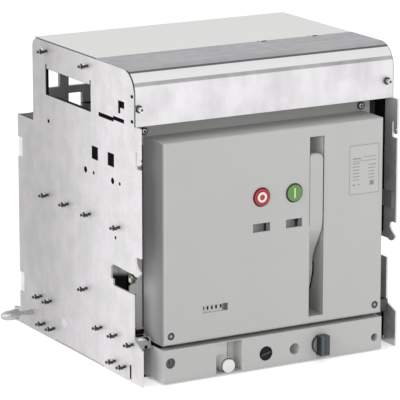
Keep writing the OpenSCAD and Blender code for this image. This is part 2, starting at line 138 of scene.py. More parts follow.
def blend(tree, factor, a, b):
    """Mixes two colours by a factor."""
    node = add_node(tree, "ShaderNodeMix", data_type="RGBA")
    for index, value in ((0, factor), (6, a), (7, b)):
        fill(tree, node.inputs[index], value)
    return node.outputs[2]


def on_object(tree):
    """The place on the object."""
    return add_node(tree, "ShaderNodeTexCoord").outputs["Object"]


def part_of(tree, vector, axis):
    """One coordinate of a vector."""
    return add_node(tree, "ShaderNodeSeparateXYZ", {"Vector": vector}).outputs[axis]


def dot(tree, a, b):
    """Dot product of two vectors."""
    return add_node(tree, "ShaderNodeVectorMath", {0: a, 1: b}, operation="DOT_PRODUCT").outputs["Value"]


def noise(tree, where, scale, detail):
    """Plain noise."""
    sockets = {"Vector": where, "Scale": scale, "Detail": detail}
    return add_node(tree, "ShaderNodeTexNoise", sockets).outputs[0]


print("helpers ready")

# %% [markdown]
# ### Fine grain
# Moulded covers are spark-eroded to a fine matt grain. Real bumps this small would need millions
# of faces. Two layers of noise give the same look: a fine one for the bumps and a wide, faint one
# for the uneven tone.

# %% Group: moulded grain
def make_moulded_grain():
    group, enter, leave = new_group("moulded grain", {"Scale": 900.0, "Cloud": 14.0}, ("Height", "Tone"))
    where = on_object(group)
    group.links.new(noise(group, where, enter["Scale"], 3.0), leave["Height"])
    group.links.new(spread(group, noise(group, where, enter["Cloud"], 2.0), 0.3, 0.7), leave["Tone"])
    return group


MOULDED_GRAIN = make_moulded_grain()
print(MOULDED_GRAIN.name, "has", len(MOULDED_GRAIN.nodes), "nodes")

# %% [markdown]
# ### Zinc bloom
# Galvanised sheet shows soft clouds where the zinc froze and faint upright streaks where it ran
# off. A Voronoi pattern gives hard crystals, which suit old buckets; this thin modern coating is
# softer. One noise is stretched for the streaks, one stays round for the clouds, and a fine one
# adds specks.

# %% Group: zinc bloom
SPECK_SCALE = 340.0


def make_zinc_bloom():
    group, enter, leave = new_group(
        "zinc bloom",
        {"Cloud scale": 22.0, "Streak scale": 160.0, "Streak share": 0.5, "Stretch": (1.0, 1.0, 0.06)},
        ("Tone", "Height", "Speck"))
    where = on_object(group)
    stretched = add_node(group, "ShaderNodeMapping", {"Vector": where, "Scale": enter["Stretch"]}).outputs[0]
    cloud = noise(group, where, enter["Cloud scale"], 4.0)
    streak = noise(group, stretched, enter["Streak scale"], 3.0)
    speck = noise(group, where, SPECK_SCALE, 3.0)
    streaks = times(group, spread(group, streak, 0.3, 0.7), enter["Streak share"])
    clouds = times(group, spread(group, cloud, 0.4, 0.6), calc(group, "SUBTRACT", 1.0, enter["Streak share"]))
    group.links.new(calc(group, "ADD", streaks, clouds, clamp=True), leave["Tone"])
    group.links.new(streak, leave["Height"])
    group.links.new(spread(group, speck, 0.3, 0.7), leave["Speck"])
    return group


ZINC_BLOOM = make_zinc_bloom()
print(ZINC_BLOOM.name, "has", len(ZINC_BLOOM.nodes), "nodes")

# %% [markdown]
# ### Edges and corners
# Edges are made paler, partly as wear where they are rubbed and partly as a painted highlight
# where they are slightly round; corners get painted shade where less light gets in. The bevel node
# compares the real normal with a rounded one, which marks edges without extra faces; ambient
# occlusion marks corners. Both are masks, so each material decides what to do with them.

# %% Groups: edge mask and corner mask
def make_edge_mask():
    group, enter, leave = new_group("edge mask", {"Radius": 0.0012}, ("Edge",))
    real = add_node(group, "ShaderNodeNewGeometry").outputs["Normal"]
    rounded = add_node(group, "ShaderNodeBevel", {"Radius": enter["Radius"]}, samples=4).outputs[0]
    group.links.new(spread(group, dot(group, real, rounded), 0.97, 0.8), leave["Edge"])
    return group


def make_corner_mask():
    group, enter, leave = new_group("corner mask", {"Reach": 0.012}, ("Corner",))
    shade = add_node(group, "ShaderNodeAmbientOcclusion", {"Distance": enter["Reach"]}, samples=8)
    group.links.new(spread(group, shade.outputs["AO"], 1.0, 0.35), leave["Corner"])
    return group


EDGE_MASK = make_edge_mask()
CORNER_MASK = make_corner_mask()
print(EDGE_MASK.name, "and", CORNER_MASK.name)

# %% [markdown]
# ### A slow change along one direction
# Large sheets change tone from one end to the other. A gradient is enough: the place on the
# object is multiplied with a direction, and the result is spread between two distances.

# %% Group: slow change
def make_slow_change():
    group, enter, leave = new_group(
        "slow change", {"Direction": (0.0, 1.0, 0.0), "From": 0.0, "To": 1.0}, ("Share",))
    along = dot(group, on_object(group), enter["Direction"])
    share = add_node(group, "ShaderNodeMapRange",
                     {"Value": along, "From Min": enter["From"], "From Max": enter["To"]},
                     interpolation_type="SMOOTHSTEP").outputs[0]
    group.links.new(share, leave["Share"])
    return group


SLOW_CHANGE = make_slow_change()
print(SLOW_CHANGE.name)

# %% [markdown]
# ### Which way a face looks
# Cut edges in the holes of a sheet get painted shade, and so does the inner face of a plate, which
# never sees the lamps. Separate materials on picked faces would work, but a mask from the face's
# own normal and place needs no picking and fits every sheet.

# %% Group: sheet faces
def make_sheet_faces():
    group, _, leave = new_group("sheet faces", {}, ("Cut", "Inner", "Left"))
    nx = part_of(group, add_node(group, "ShaderNodeNewGeometry").outputs["True Normal"], "X")
    side = calc(group, "SIGN", part_of(group, on_object(group), "X"))
    group.links.new(spread(group, calc(group, "ABSOLUTE", nx), 0.9, 0.6), leave["Cut"])
    group.links.new(spread(group, times(group, nx, side), -0.5, -0.9), leave["Inner"])
    group.links.new(spread(group, nx, -0.5, -0.9), leave["Left"])
    return group


SHEET_FACES = make_sheet_faces()
print(SHEET_FACES.name)

# %% [markdown]
# ### Helpers for materials
# A material starts with one shader. Numbers that are the same all over go on the shader's
# own sockets; what changes over the surface is linked in from the groups.

# %% Helpers for materials
ALONG_X, ALONG_Y, ALONG_Z = (1.0, 0.0, 0.0), (0.0, 1.0, 0.0), (0.0, 0.0, 1.0)
PURE_WHITE = (1.0, 1.0, 1.0, 1.0)


def new_material(name, **sockets):
    """A material with one shader; plain numbers go on its own sockets."""
    material = bpy.data.materials.new(name)
    material.use_nodes = True
    shader = material.node_tree.nodes["Principled BSDF"]
    for key, value in sockets.items():
        shader.inputs[key.replace("_", " ")].default_value = value
    return material, material.node_tree


def use_group(tree, group, **values):
    """Places a shared group and sets its inputs."""
    node = tree.nodes.new("ShaderNodeGroup")
    node.node_tree = group
    for key, value in values.items():
        fill(tree, node.inputs[key.replace("_", " ")], value)
    return node.outputs


def gradient(tree, direction, low, high):
    """0 to 1 along a direction between two distances."""
    return use_group(tree, SLOW_CHANGE, Direction=direction, From=low, To=high)["Share"]


def finish(material, tone, roughness, height, distance, metallic=None):
    """Links colour, roughness, metal share and a bump height to the shader."""
    tree = material.node_tree
    bump = add_node(tree, "ShaderNodeBump", {"Height": height, "Distance": distance, "Strength": 1.0})
    for key, value in (("Base Color", tone), ("Roughness", roughness), ("Metallic", metallic),
                       ("Normal", bump.outputs[0])):
        if value is not None:
            tree.links.new(value, tree.nodes["Principled BSDF"].inputs[key])
    return material


def grey(level):
    """A grey as red, green, blue, alpha."""
    return (level, level, level, 1.0)


def dimmed(colour, factor):
    """A colour times a factor."""
    return (*[min(1.0, c * factor) for c in colour[:3]], 1.0)


def dress(material, *nodes):
    """Gives CAD nodes their finish."""
    for name in nodes:
        mesh = NODES[name].data
        mesh.materials.clear()
        mesh.materials.append(material)


print("material helpers ready")

# %% [markdown]
# ## Galvanised sheet
# The side plates and the floor pan are zinc-coated sheet: a metal, yet so finely frozen that it
# scatters light nearly like paint. A fully metallic shader would mirror the room, so it is part
# metallic with a wide roughness. Painted light makes the plates lighter towards the front, and
# painted shade keeps their inner faces grey and darkens the walls of holes.

# %% Finish: galvanised sheet
REAR_SHADE = 0.615
HOLE_WALL_SHADE = grey(0.012)
SHEET_METAL = 0.3


def make_galvanised(name, light, dark):
    material, tree = new_material(name, Metallic=SHEET_METAL)
    bloom = use_group(tree, ZINC_BLOOM, Cloud_scale=38.0, Streak_scale=110.0, Streak_share=0.35)
    tone = blend(tree, bloom["Tone"], dark, light)
    # painted shade makes the back end darker, a little less so near the floor
    rear = blend(tree, bloom["Tone"], dimmed(dark, REAR_SHADE), dimmed(light, REAR_SHADE))
    back = gradient(tree, ALONG_Y, EDGE_Y + 0.05, EDGE_Y + 0.29)
    raised = spread(tree, gradient(tree, ALONG_Z, 0.0, 0.12), 0.0, 1.0, 0.72, 1.0)
    tone = blend(tree, times(tree, back, raised), tone, rear)
    tone = blend(tree, times(tree, bloom["Speck"], 0.17), tone, grey(0.42))
    faces = use_group(tree, SHEET_FACES)
    # painted shade on the inner faces, but for a strip above the floor
    slant = 0.25
    strip = gradient(tree, (0.0, slant, 1.0), slant * EDGE_Y + 0.0085, slant * EDGE_Y + 0.0115)
    inner = blend(tree, bloom["Tone"], grey(0.20), grey(0.40))
    inner = blend(tree, gradient(tree, ALONG_Z, 0.19, 0.34), inner, grey(0.36))
    tone = blend(tree, times(tree, faces["Inner"], strip, 0.87), tone, inner)
    # painted shade darkens the walls of holes and slots; the long front edges stay bright
    spot = on_object(tree)
    y, z = part_of(tree, spot, "Y"), part_of(tree, spot, "Z")
    upper = times(tree, spread(tree, z, 0.170, 0.171), spread(tree, y, EDGE_Y + 0.0166, EDGE_Y + 0.0170))
    foot = spread(tree, z, 0.029, 0.030, 1.0, 0.0)
    lower = times(tree, foot, spread(tree, y, EDGE_Y + 0.020, EDGE_Y + 0.021))
    wall = times(tree, faces["Cut"], calc(tree, "MAXIMUM", upper, lower))
    tone = blend(tree, wall, tone, HOLE_WALL_SHADE)
    rough = calc(tree, "MAXIMUM", spread(tree, bloom["Tone"], 0.0, 1.0, 0.62, 0.48), wall)
    metal = spread(tree, wall, 0.0, 1.0, SHEET_METAL, 0.0)
    return finish(material, tone, rough, bloom["Height"], 0.00004, metal)


GALVANISED = make_galvanised("galvanised sheet", (0.885, 0.838, 0.885, 1), (0.775, 0.775, 0.765, 1))
dress(GALVANISED, "left_side_plate", "right_side_plate", "base_pan")
print(GALVANISED.name)

# %% [markdown]
# ## Hood sheet
# The hood is a bright sheet with one large bend: the same kind of material, lighter in front and
# brushed on top, where painted shade makes it darker. Narrow bands along Y follow the bend as
# painted reflections: one bright and one dark line.

# %% Finish: hood sheet
def make_hood():
    material, tree = new_material("hood sheet", Metallic=SHEET_METAL)
    bloom = use_group(tree, ZINC_BLOOM, Cloud_scale=24.0, Streak_scale=70.0, Streak_share=0.45,
                      Stretch=(1.0, 1.0, 0.22))
    brushed = use_group(tree, ZINC_BLOOM, Cloud_scale=55.0, Streak_scale=130.0, Streak_share=0.6,
                        Stretch=(0.05, 1.0, 1.0))
    tone = blend(tree, bloom["Tone"], (0.715, 0.695, 0.715, 1), (0.885, 0.865, 0.89, 1))
    tone = blend(tree, times(tree, bloom["Speck"], 0.10), tone, grey(0.45))
    # painted shade: the brushed top is darker than the front
    top = blend(tree, brushed["Tone"], (0.375, 0.365, 0.39, 1), (0.485, 0.48, 0.495, 1))
    top = blend(tree, times(tree, bloom["Speck"], 0.25), top, grey(0.22))
    # painted reflections on the bend: a grey band, a bright band and a dark line before the top
    bend = blend(tree, bloom["Tone"], grey(0.33), grey(0.46))
    spot = on_object(tree)
    back = calc(tree, "SUBTRACT", part_of(tree, spot, "Y"), EDGE_Y)
    for start, end, colour in ((0.0164, 0.0167, bend), (0.0185, 0.0189, grey(0.80)),
                               (0.0280, 0.0285, grey(0.10)), (0.0312, 0.0322, top)):
        tone = blend(tree, spread(tree, back, start, end), tone, colour)
    # dark joint between the ends of the bend and the side plates
    side = calc(tree, "ABSOLUTE", part_of(tree, spot, "X"))
    joint = spread(tree, side, HALF_W / 1000 - 0.0013, HALF_W / 1000 - 0.0011)
    tone = blend(tree, times(tree, joint, spread(tree, back, 0.034, 0.036, 1.0, 0.0)), tone, grey(0.045))
    rough = spread(tree, bloom["Tone"], 0.0, 1.0, 0.55, 0.45)
    return finish(material, tone, rough, bloom["Height"], 0.00003)


HOOD = make_hood()
dress(HOOD, "hood")
print(HOOD.name)

# %% [markdown]
# ## Moulded plastics
# Cover, lower panel and handle are one grey thermoplastic; the inner panel, the housing and the
# rear base are darker compounds. One recipe serves them all: grain in the bump, a cloudy tone,
# paler edges from wear and a painted highlight, and painted shade in corners. The left flank of a
# cover and the foot of a deep well can get painted light and shade of their own.

# %% Finish: moulded plastics
CLOUD_SHADE, CORNER_SHADE, CORNER_REACH = 0.97, 0.45, 0.01


def make_plastic(name, colour, rough=0.5, corner=0.25, edge=0.10, flank=None, gloss=0.5, sink=None):
    """Grainy plastic. flank: greys of painted light and shade on the left side, at the front and the back.
    sink: heights between which painted shade darkens it downwards, and how much is left."""
    material, tree = new_material(name, Specular_IOR_Level=gloss)
    grain = use_group(tree, MOULDED_GRAIN)
    tone = blend(tree, grain["Tone"], dimmed(colour, CLOUD_SHADE), (*colour, 1.0))
    # painted shade in corners, found by ambient occlusion
    corner_shade = use_group(tree, CORNER_MASK, Reach=CORNER_REACH)["Corner"]
    tone = blend(tree, times(tree, corner_shade, corner), tone, dimmed(colour, CORNER_SHADE))
    # paler edges: wear where they are rubbed, and a painted highlight where they are round
    rim = use_group(tree, EDGE_MASK, Radius=0.0008)["Edge"]
    pale = (*[min(1.0, c * 1.5 + 0.04) for c in colour], 1.0)
    tone = blend(tree, times(tree, rim, edge), tone, pale)
    # painted shade: darker towards the foot between two heights
    if sink:
        foot, head, left = sink
        tone = blend(tree, gradient(tree, ALONG_Z, head, foot), tone, dimmed(colour, left))
    # painted light and shade on the left flank, and a little painted light towards the right
    if flank:
        back = gradient(tree, ALONG_Y, EDGE_Y - 0.006, EDGE_Y + 0.035)
        side = blend(tree, back, grey(flank[0]), grey(flank[1]))
        tone = blend(tree, use_group(tree, SHEET_FACES)["Left"], tone, side)
        across = gradient(tree, ALONG_X, -0.16, 0.16)
        tone = blend(tree, times(tree, across, 0.07), tone, PURE_WHITE)
    roughness = spread(tree, grain["Tone"], 0.0, 1.0, rough - 0.05, rough + 0.05)
    return finish(material, tone, roughness, grain["Height"], 0.00003)


COVER_GREY = make_plastic("cover grey", (0.535, 0.535, 0.515))
# the front cover's flank gets painted shade and the lower panel's flank painted light
COVER_FRONT = make_plastic("cover grey with shaded flank", (0.518, 0.518, 0.506), flank=(0.30, 0.62))
PANEL_LOW = make_plastic("cover grey of the lower panel", (0.530, 0.530, 0.518), flank=(0.78, 1.0))
# the well is a lighter copy of the cover grey as painted light, darker lower down as painted shade
WELL_GREY = make_plastic("cover grey of the well", (0.80, 0.80, 0.78), sink=(0.150, 0.185, 0.50))
PANEL_GREY = make_plastic("panel grey", (0.455, 0.455, 0.44), rough=0.6)
BRIDGE_GREY = make_plastic("bridge grey", (0.62, 0.61, 0.62), rough=0.6)
HOUSING_DARK = make_plastic("housing dark", (0.055, 0.055, 0.055), rough=0.6)
BASE_DARK = make_plastic("base dark", (0.075, 0.074, 0.076), rough=0.6)
# the left end faces of the top cover are painted dark, and it grows lighter to the right as painted light
TOP_WHITE = make_plastic("top white", (0.87, 0.88, 0.855), rough=0.55, flank=(0.22, 0.22))
BLACK = make_plastic("black", (0.010, 0.010, 0.012), gloss=0.12)
WHITE = make_plastic("white", (0.87, 0.87, 0.855), rough=0.35)
RED = make_plastic("red", (0.48, 0.042, 0.058), rough=0.4)
RED_DEEP = make_plastic("deep red", (0.095, 0.010, 0.016), rough=0.45, gloss=0.25)
GREEN = make_plastic("green", (0.14, 0.285, 0.085), rough=0.4)
GREEN_DEEP = make_plastic("deep green", (0.022, 0.05, 0.018), rough=0.45, gloss=0.25)
dress(COVER_FRONT, "front_cover")
dress(PANEL_LOW, "lower_panel")
dress(COVER_GREY, "charging_handle")
dress(WELL_GREY, "handle_well")
dress(PANEL_GREY, "inner_panel")
dress(HOUSING_DARK, "switch_housing", "arc_chutes")
dress(BASE_DARK, "rear_base")
dress(BRIDGE_GREY, "rear_bridge")
dress(TOP_WHITE, "top_cover")
dress(BLACK, "position_dial")
dress(WHITE, "release_button")
dress(RED, "off_button")
dress(GREEN, "on_button")
print("materials so far:", len(bpy.data.materials))

# %% [markdown]
# ## Turned and rolled steel
# Rails, studs and screws are small and mostly seen edge on. Turned steel has fine lines that
# follow the tool. Stretched noise along each part would be exact, but at this size fine noise in
# the roughness reads the same.

# %% Finish: steels
STEEL_GRAIN = 1400.0


def make_steel(name, colour, rough=0.4, metallic=0.8, edge_wear_and_highlight=0.3):
    """Steel with fine tool marks; its last number sets how pale its edges get, as rubbed wear and as a
    painted highlight.
    """
    material, tree = new_material(name, Metallic=metallic)
    grain = use_group(tree, MOULDED_GRAIN, Scale=STEEL_GRAIN, Cloud=60.0)
    tone = blend(tree, grain["Tone"], dimmed(colour, 0.88), (*colour, 1.0))
    # paler edges: wear where they are rubbed, and a painted highlight where they are round
    rim = use_group(tree, EDGE_MASK, Radius=0.0004)["Edge"]
    tone = blend(tree, times(tree, rim, edge_wear_and_highlight), tone, grey(0.8))
    roughness = spread(tree, grain["Height"], 0.3, 0.7, rough - 0.08, rough + 0.08)
    return finish(material, tone, roughness, grain["Height"], 0.00002)


RAIL_STEEL = make_steel("rail steel", (0.42, 0.42, 0.43), rough=0.5, metallic=0.5)
STUD_STEEL = make_steel("stud steel", (0.075, 0.07, 0.075), rough=0.45, metallic=0.6, edge_wear_and_highlight=0.15)
BRIGHT_ZINC = make_steel("bright zinc", (0.52, 0.53, 0.52), rough=0.3)
PAWL_ZINC = make_steel("pawl zinc", (0.07, 0.07, 0.045), rough=0.5, metallic=0.3)
TINNED = make_steel("tinned copper", (0.62, 0.60, 0.57), rough=0.35)
LATCH_GREY = make_steel("latch grey", (0.36, 0.36, 0.365), rough=0.5, metallic=0.3, edge_wear_and_highlight=0.5)
# the right latch is a darker copy of the latch steel, as painted shade
LATCH_SHADED_STEEL = make_steel("latch steel in painted shade", (0.10, 0.10, 0.10), rough=0.6, metallic=0.3, edge_wear_and_highlight=0.1)
STOP_STEEL = make_steel("stop block steel", (0.24, 0.24, 0.24), rough=0.6, metallic=0.2, edge_wear_and_highlight=0.1)
GEARBOX_GREY = make_steel("gearbox sheet", (0.92, 0.92, 0.93), rough=0.6, metallic=0.2)
BARS = ["%s_terminal_%d" % (row, i) for row in ("upper", "lower") for i in (1, 2, 3)]
dress(RAIL_STEEL, "left_guide_rail", "right_guide_rail", "side_runners")
dress(LATCH_GREY, "left_rail_latch")
dress(LATCH_SHADED_STEEL, "right_rail_latch")
dress(STOP_STEEL, "stop_blocks")
dress(GEARBOX_GREY, "racking_gearbox")
dress(STUD_STEEL, "inner_panel_screws", "cover_screws")
dress(BRIGHT_ZINC, "left_earth_bolt", "right_earth_bolt")
dress(PAWL_ZINC, "locking_pawl")
dress(TINNED, *BARS)
print("steels ready")

# %% [markdown]
# ## Building small trim
# Screw heads, signs, rings and thin strips are too fine for the CAD frame, so each is a mesh
# here. A few small builders keep them exact: a slab, a turned profile and a flat outline with a
# thickness, all in the fitter's millimetres; a bevel softens the edges as a file would. A second
# row of helpers wraps them up, so that most pieces are one short line.

# %% Builders for trim
FRONTWARD = (0, -1, 0)
UNIT = "switch_unit"
PIECES = []


def slab(bm, low, high):
    """A box between two corners."""
    spots = [bm.verts.new(place(x, y, z))
             for x in (low[0], high[0]) for y in (low[1], high[1]) for z in (low[2], high[2])]
    for face in ((0, 1, 3, 2), (4, 6, 7, 5), (0, 4, 5, 1), (2, 3, 7, 6), (0, 2, 6, 4), (1, 5, 7, 3)):
        bm.faces.new([spots[i] for i in face])


def turned(bm, spot, axis, profile, sides=40):
    """Turns (distance along, radius) pairs about an axis that starts at a spot."""
    ahead = Vector(axis).normalized()
    across = ahead.orthogonal().normalized()
    other = ahead.cross(across)
    start = place(*spot)
    turns = [math.tau * i / sides for i in range(sides)]
    spokes = [across * math.cos(turn) + other * math.sin(turn) for turn in turns]
    rings = []
    for along, radius in profile:
        hub = start + ahead * along / 1000
        rings.append([bm.verts.new(hub + spoke * radius / 1000) for spoke in spokes])
    for a, b in zip(rings, rings[1:]):
        for i in range(sides):
            bm.faces.new([a[i], a[(i + 1) % sides], b[(i + 1) % sides], b[i]])
    for ring_verts, radius in ((rings[0], profile[0][1]), (rings[-1], profile[-1][1])):
        if radius > 0 and profile[0] != profile[-1]:
            bm.faces.new(ring_verts)


def outline(bm, points, normal, at, thick):
    """A flat outline with a thickness: normal x takes (y, z) pairs, normal y takes (x, z)."""
    def spot(a, b, depth):
        return place(depth, a, b) if normal == "x" else place(a, depth, b)
    near = [bm.verts.new(spot(*p, at)) for p in points]
    far = [bm.verts.new(spot(*p, at + thick)) for p in points]
    bm.faces.new(near)
    bm.faces.new(list(reversed(far)))
    for i in range(len(points)):
        j = (i + 1) % len(points)
        bm.faces.new([near[i], far[i], far[j], near[j]])


def ring_profile(inner, outer, high):
    """Section of a flat ring, closed on itself."""
    return [(0, inner), (0, outer), (high, outer), (high, inner), (0, inner)]


def slabs(*pairs, mirrored=False):
    """Build function for boxes; mirrored repeats them on the other side."""
    def build(bm):
        for low, high in pairs:
            for side in SIDES if mirrored else (1,):
                slab(bm, (side * low[0], *low[1:]), (side * high[0], *high[1:]))
    return build


def turns(spots, profile, sides=40, axis=FRONTWARD):
    """Build function for one turned shape at several spots."""
    def build(bm):
        for spot in spots:
            turned(bm, spot, axis, profile, sides)
    return build


def plate(points, normal, at, thick):
    """Build function for one flat outline."""
    return lambda bm: outline(bm, points, normal, at, thick)


def both(*builds):
    """Several build functions as one."""
    return lambda bm: [build(bm) for build in builds]


def plates(points, at, thick):
    """Build function for one outline that stands across X on both sides."""
    def build(bm):
        for side in SIDES:
            outline(bm, points, "x", side * at, side * thick)
    return build


def frame_bars(x0, x1, low, high, bar):
    """The four bars of a frame, each as (from, to) along X and across it."""
    return ((x0, x1, low, low + bar), (x0, x1, high - bar, high),
            (x0, x0 + bar, low + bar, high - bar), (x1 - bar, x1, low + bar, high - bar))


def add_to_scene(name, data, spot=(0, 0, 0), turn=(0, 0, 0)):
    """Places a mesh, a camera or a lamp."""
    made = bpy.data.objects.new(name, data)
    made.location, made.rotation_euler = spot, turn
    bpy.context.scene.collection.objects.link(made)
    return made


def piece(name, build, material, body="cradle", bevel=0.0):
    """Makes an object from a build function and lets it ride on a body."""
    bm = bmesh.new()
    build(bm)
    bmesh.ops.remove_doubles(bm, verts=bm.verts, dist=1e-7)
    bmesh.ops.recalc_face_normals(bm, faces=bm.faces)
    for face in bm.faces:
        face.smooth = True
    mesh = bpy.data.meshes.new(name)
    bm.to_mesh(mesh)
    bm.free()
    mesh.set_sharp_from_angle(angle=math.radians(35))
    mesh.materials.append(material)
    made = add_to_scene(name, mesh)
    if bevel:
        soft = made.modifiers.new("soft edges", "BEVEL")
        soft.width = bevel / 1000
        soft.segments = 2
        soft.limit_method = "ANGLE"
    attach(made, body)
    PIECES.append(made)


print("builders ready")

# %% [markdown]
# ## Signs on the push buttons
# The off button carries a white ring, the on button a pale bar. The real caps are moulded in two
# colours, so each sign is a mesh a hair above the face; a printed picture would blur at close
# range. A darker ring runs round the rim of each cap.

# %% Button rings and signs
SIGN_WHITE = make_plastic("sign white", (0.93, 0.86, 0.80), rough=0.4, corner=0.0)
SIGN_GREEN = make_plastic("sign green", (0.70, 0.95, 0.52), rough=0.4, corner=0.0)
OFF_X, _, BUTTON_Z = middle("off_button")
ON_X = middle("on_button")[0]
CAP_Y = FACE_Y - 2
for side, x, deep in (("off", OFF_X, RED_DEEP), ("on", ON_X, GREEN_DEEP)):
    piece(side + "_button_rim", turns([(x, CAP_Y + 1.1, BUTTON_Z)], ring_profile(9.95, 11.72, 0.35), 64),
          deep, side + "_button_body")
piece("off_sign", turns([(OFF_X, CAP_Y + 0.05, BUTTON_Z)], ring_profile(3.7, 6.7, 0.2), 64),
      SIGN_WHITE, "off_button_body")
piece("on_sign", slabs(((ON_X - 0.85, CAP_Y - 0.15, BUTTON_Z - 6.5),
                        (ON_X + 0.85, CAP_Y + 0.05, BUTTON_Z + 6.5))),
      SIGN_GREEN, "on_button_body", bevel=0.06)
piece("off_groove", turns([(OFF_X, CAP_Y + 0.03, BUTTON_Z)], ring_profile(8.1, 8.7, 0.08), 64),
      RED_DEEP, "off_button_body")
print("button signs:", len(PIECES))

# %% [markdown]
# ## Windows for the two flags and the counter
# A few millimetres behind each small window sits a flag or a row of number wheels. The flags are
# grey cards with painted shade towards the right; the black bar is painted shade in the gap beside
# the card. The counter shows five plain digits, built from strokes as on a segment display.

# %% Flag cards and their levers
def make_flag_card(name, left, right):
    """Grey card with painted shade, darker towards the gap beside it."""
    material, tree = new_material(name, Roughness=0.5)
    tone = blend(tree, gradient(tree, ALONG_X, left / 1000, right / 1000), grey(0.26), grey(0.055))
    grain = use_group(tree, MOULDED_GRAIN, Cloud=120.0)
    tone = blend(tree, times(tree, grain["Tone"], 0.25), tone, grey(0.12))
    return finish(material, tone, None, grain["Height"], 0.00002)


FLAG_Y = FACE_Y + 3
FLAG_RIGHT = make_plastic("flag right part", (0.15, 0.15, 0.15), corner=0.0)
for node, x, wide, lean in (("charge_flag", -13.7, 3.3, 0.0), ("contact_flag", 32.6, 4.0, 0.9)):
    (left, _, z0), (right, _, z1) = corners(node)
    dress(make_flag_card(node.replace("_", " ") + " card", left, x), node)
    z0, z1, half = z0 + 2.2, z1 - 2.2, wide / 2
    bar = [(x - half + lean, z0), (x + half - lean, z0), (x + half + lean, z1), (x - half - lean, z1)]
    # the black bar is painted shade in the gap beside the card
    piece(node + "_gap_shade", plate(bar, "y", FLAG_Y - 0.6, 0.7), BLACK, UNIT, bevel=0.1)
    piece(node + "_tail", slabs(((x + half, FLAG_Y - 0.3, z0 - 0.5), (right - 1.8, FLAG_Y + 0.05, z1 + 0.5))),
          FLAG_RIGHT, UNIT, bevel=0.08)
print("flags:", len(PIECES))

# %% Counter digits
STROKES = {"top": (0, 2, 1, 2), "mid": (0, 1, 1, 1), "low": (0, 0, 1, 0), "ul": (0, 1, 0, 2),
           "ur": (1, 1, 1, 2), "ll": (0, 0, 0, 1), "lr": (1, 0, 1, 1)}
SHAPES = {1: ("ur", "lr"), 6: ("top", "mid", "low", "ul", "ll", "lr"), 8: tuple(STROKES),
          9: ("top", "mid", "low", "ul", "ur", "lr")}
DIGITS = ((1, -104.1), (8, -97.9), (6, -91.7), (8, -85.5), (9, -78.9))
DIGIT_FOOT, DIGIT_W, DIGIT_H, STROKE = 90.4, 1.3, 3.4, 1.15
COUNTER_GROUND = make_plastic("counter ground", (0.57, 0.57, 0.555), corner=0.1)
INK = make_plastic("ink", (0.016, 0.016, 0.016), rough=0.6, corner=0.0, gloss=0.1)
DRIVE_GREY = make_plastic("drive grey", (0.11, 0.11, 0.11), corner=0.0, gloss=0.2)


def counter_digits(bm):
    """Five digits from straight strokes."""
    y, half = FLAG_Y - 0.2, STROKE / 2
    for digit, x in DIGITS:
        for key in SHAPES[digit]:
            x0, z0, x1, z1 = STROKES[key]
            slab(bm, (x + x0 * DIGIT_W - half, y, DIGIT_FOOT + z0 * DIGIT_H / 2 - half),
                 (x + x1 * DIGIT_W + half, y + 0.25, DIGIT_FOOT + z1 * DIGIT_H / 2 + half))


dress(COUNTER_GROUND, "operation_counter")
piece("counter_digits", counter_digits, INK, UNIT)
piece("counter_drive", slabs(((-73.2, FLAG_Y - 0.6, 86.8), (-70.6, FLAG_Y + 0.05, 95.8))),
      DRIVE_GREY, UNIT, bevel=0.15)
piece("counter_cheeks", slabs(((-76.0, FLAG_Y - 0.4, 87), (-73.3, FLAG_Y + 0.05, 95.6)),
                              ((-70.5, FLAG_Y - 0.4, 86.8), (-69.3, FLAG_Y + 0.05, 95.8))),
      FLAG_RIGHT, UNIT, bevel=0.1)
print("flags and counter:", len(PIECES))

# %% [markdown]
# ## Nameplate
# The real plate is printed; ours stays generic: a fine frame, faint rows of short lines
# where text would be, and nothing to read. Thin strips are exact at any distance.

# %% Nameplate print
(PLATE_X0, _, PLATE_Z0), (PLATE_X1, _, PLATE_Z1) = corners("rating_plate")
PLATE_Y = FACE_Y - 0.4
LINE_PITCH = 4.25
LABEL_PALE = make_plastic("label pale", (0.565, 0.565, 0.545), rough=0.4, corner=0.0, edge=0.0)
FRAME_GREY = make_plastic("label frame", (0.33, 0.33, 0.32), rough=0.45, corner=0.0, edge=0.0)
LINE_GREY = make_plastic("label lines", (0.27, 0.27, 0.265), rough=0.45, corner=0.0, edge=0.0)


def strip(bm, x0, x1, z0, z1, raised):
    """Thin printed strip on the nameplate."""
    slab(bm, (x0, PLATE_Y - raised, z0), (x1, PLATE_Y + 0.02, z1))


def plate_frame(bm):
    for bar in frame_bars(PLATE_X0 + 0.2, PLATE_X1 - 0.2, PLATE_Z0 + 0.2, PLATE_Z1 - 0.2, 0.7):
        strip(bm, *bar, 0.06)


def plate_lines(bm):
    dice = random.Random(5)
    for left, right, down, count in ((4.8, 17.4, 24.6, 6), (28.6, 40.4, 27.7, 5)):
        for row in range(count):
            z = PLATE_Z1 - down - LINE_PITCH * row
            strip(bm, PLATE_X0 + left, PLATE_X0 + right - dice.uniform(0, 3), z, z + 1.0, 0.05)
    # rules under the bare head of the plate, a short note and a square code field
    for left, right, down, thick in ((4.8, 17, 18.4, 1.5), (20, 40.5, 16.6, 0.7), (4.8, 40.5, 21.6, 0.7),
                                     (4.8, 9.5, 53.0, 1.5), (12.5, 16, 52.4, 1.1), (30.9, 36.9, 54.2, 6.2)):
        z = PLATE_Z1 - down
        strip(bm, PLATE_X0 + left, PLATE_X0 + right, z, z + thick, 0.05)


dress(LABEL_PALE, "rating_plate")
piece("nameplate_frame", plate_frame, FRAME_GREY, UNIT)
piece("nameplate_lines", plate_lines, LINE_GREY, UNIT)
print("nameplate ready")

# %% [markdown]
# ## Screws on the front
# Two cross-head screws in round recesses hold the cover, two socket screws the inner panel. The
# lower panel has a lock in a deep tube on the left and a screw in a deep hole on the right. The
# cross is two pale bars set into the dark head, which reads the same as a cut cross at this size.

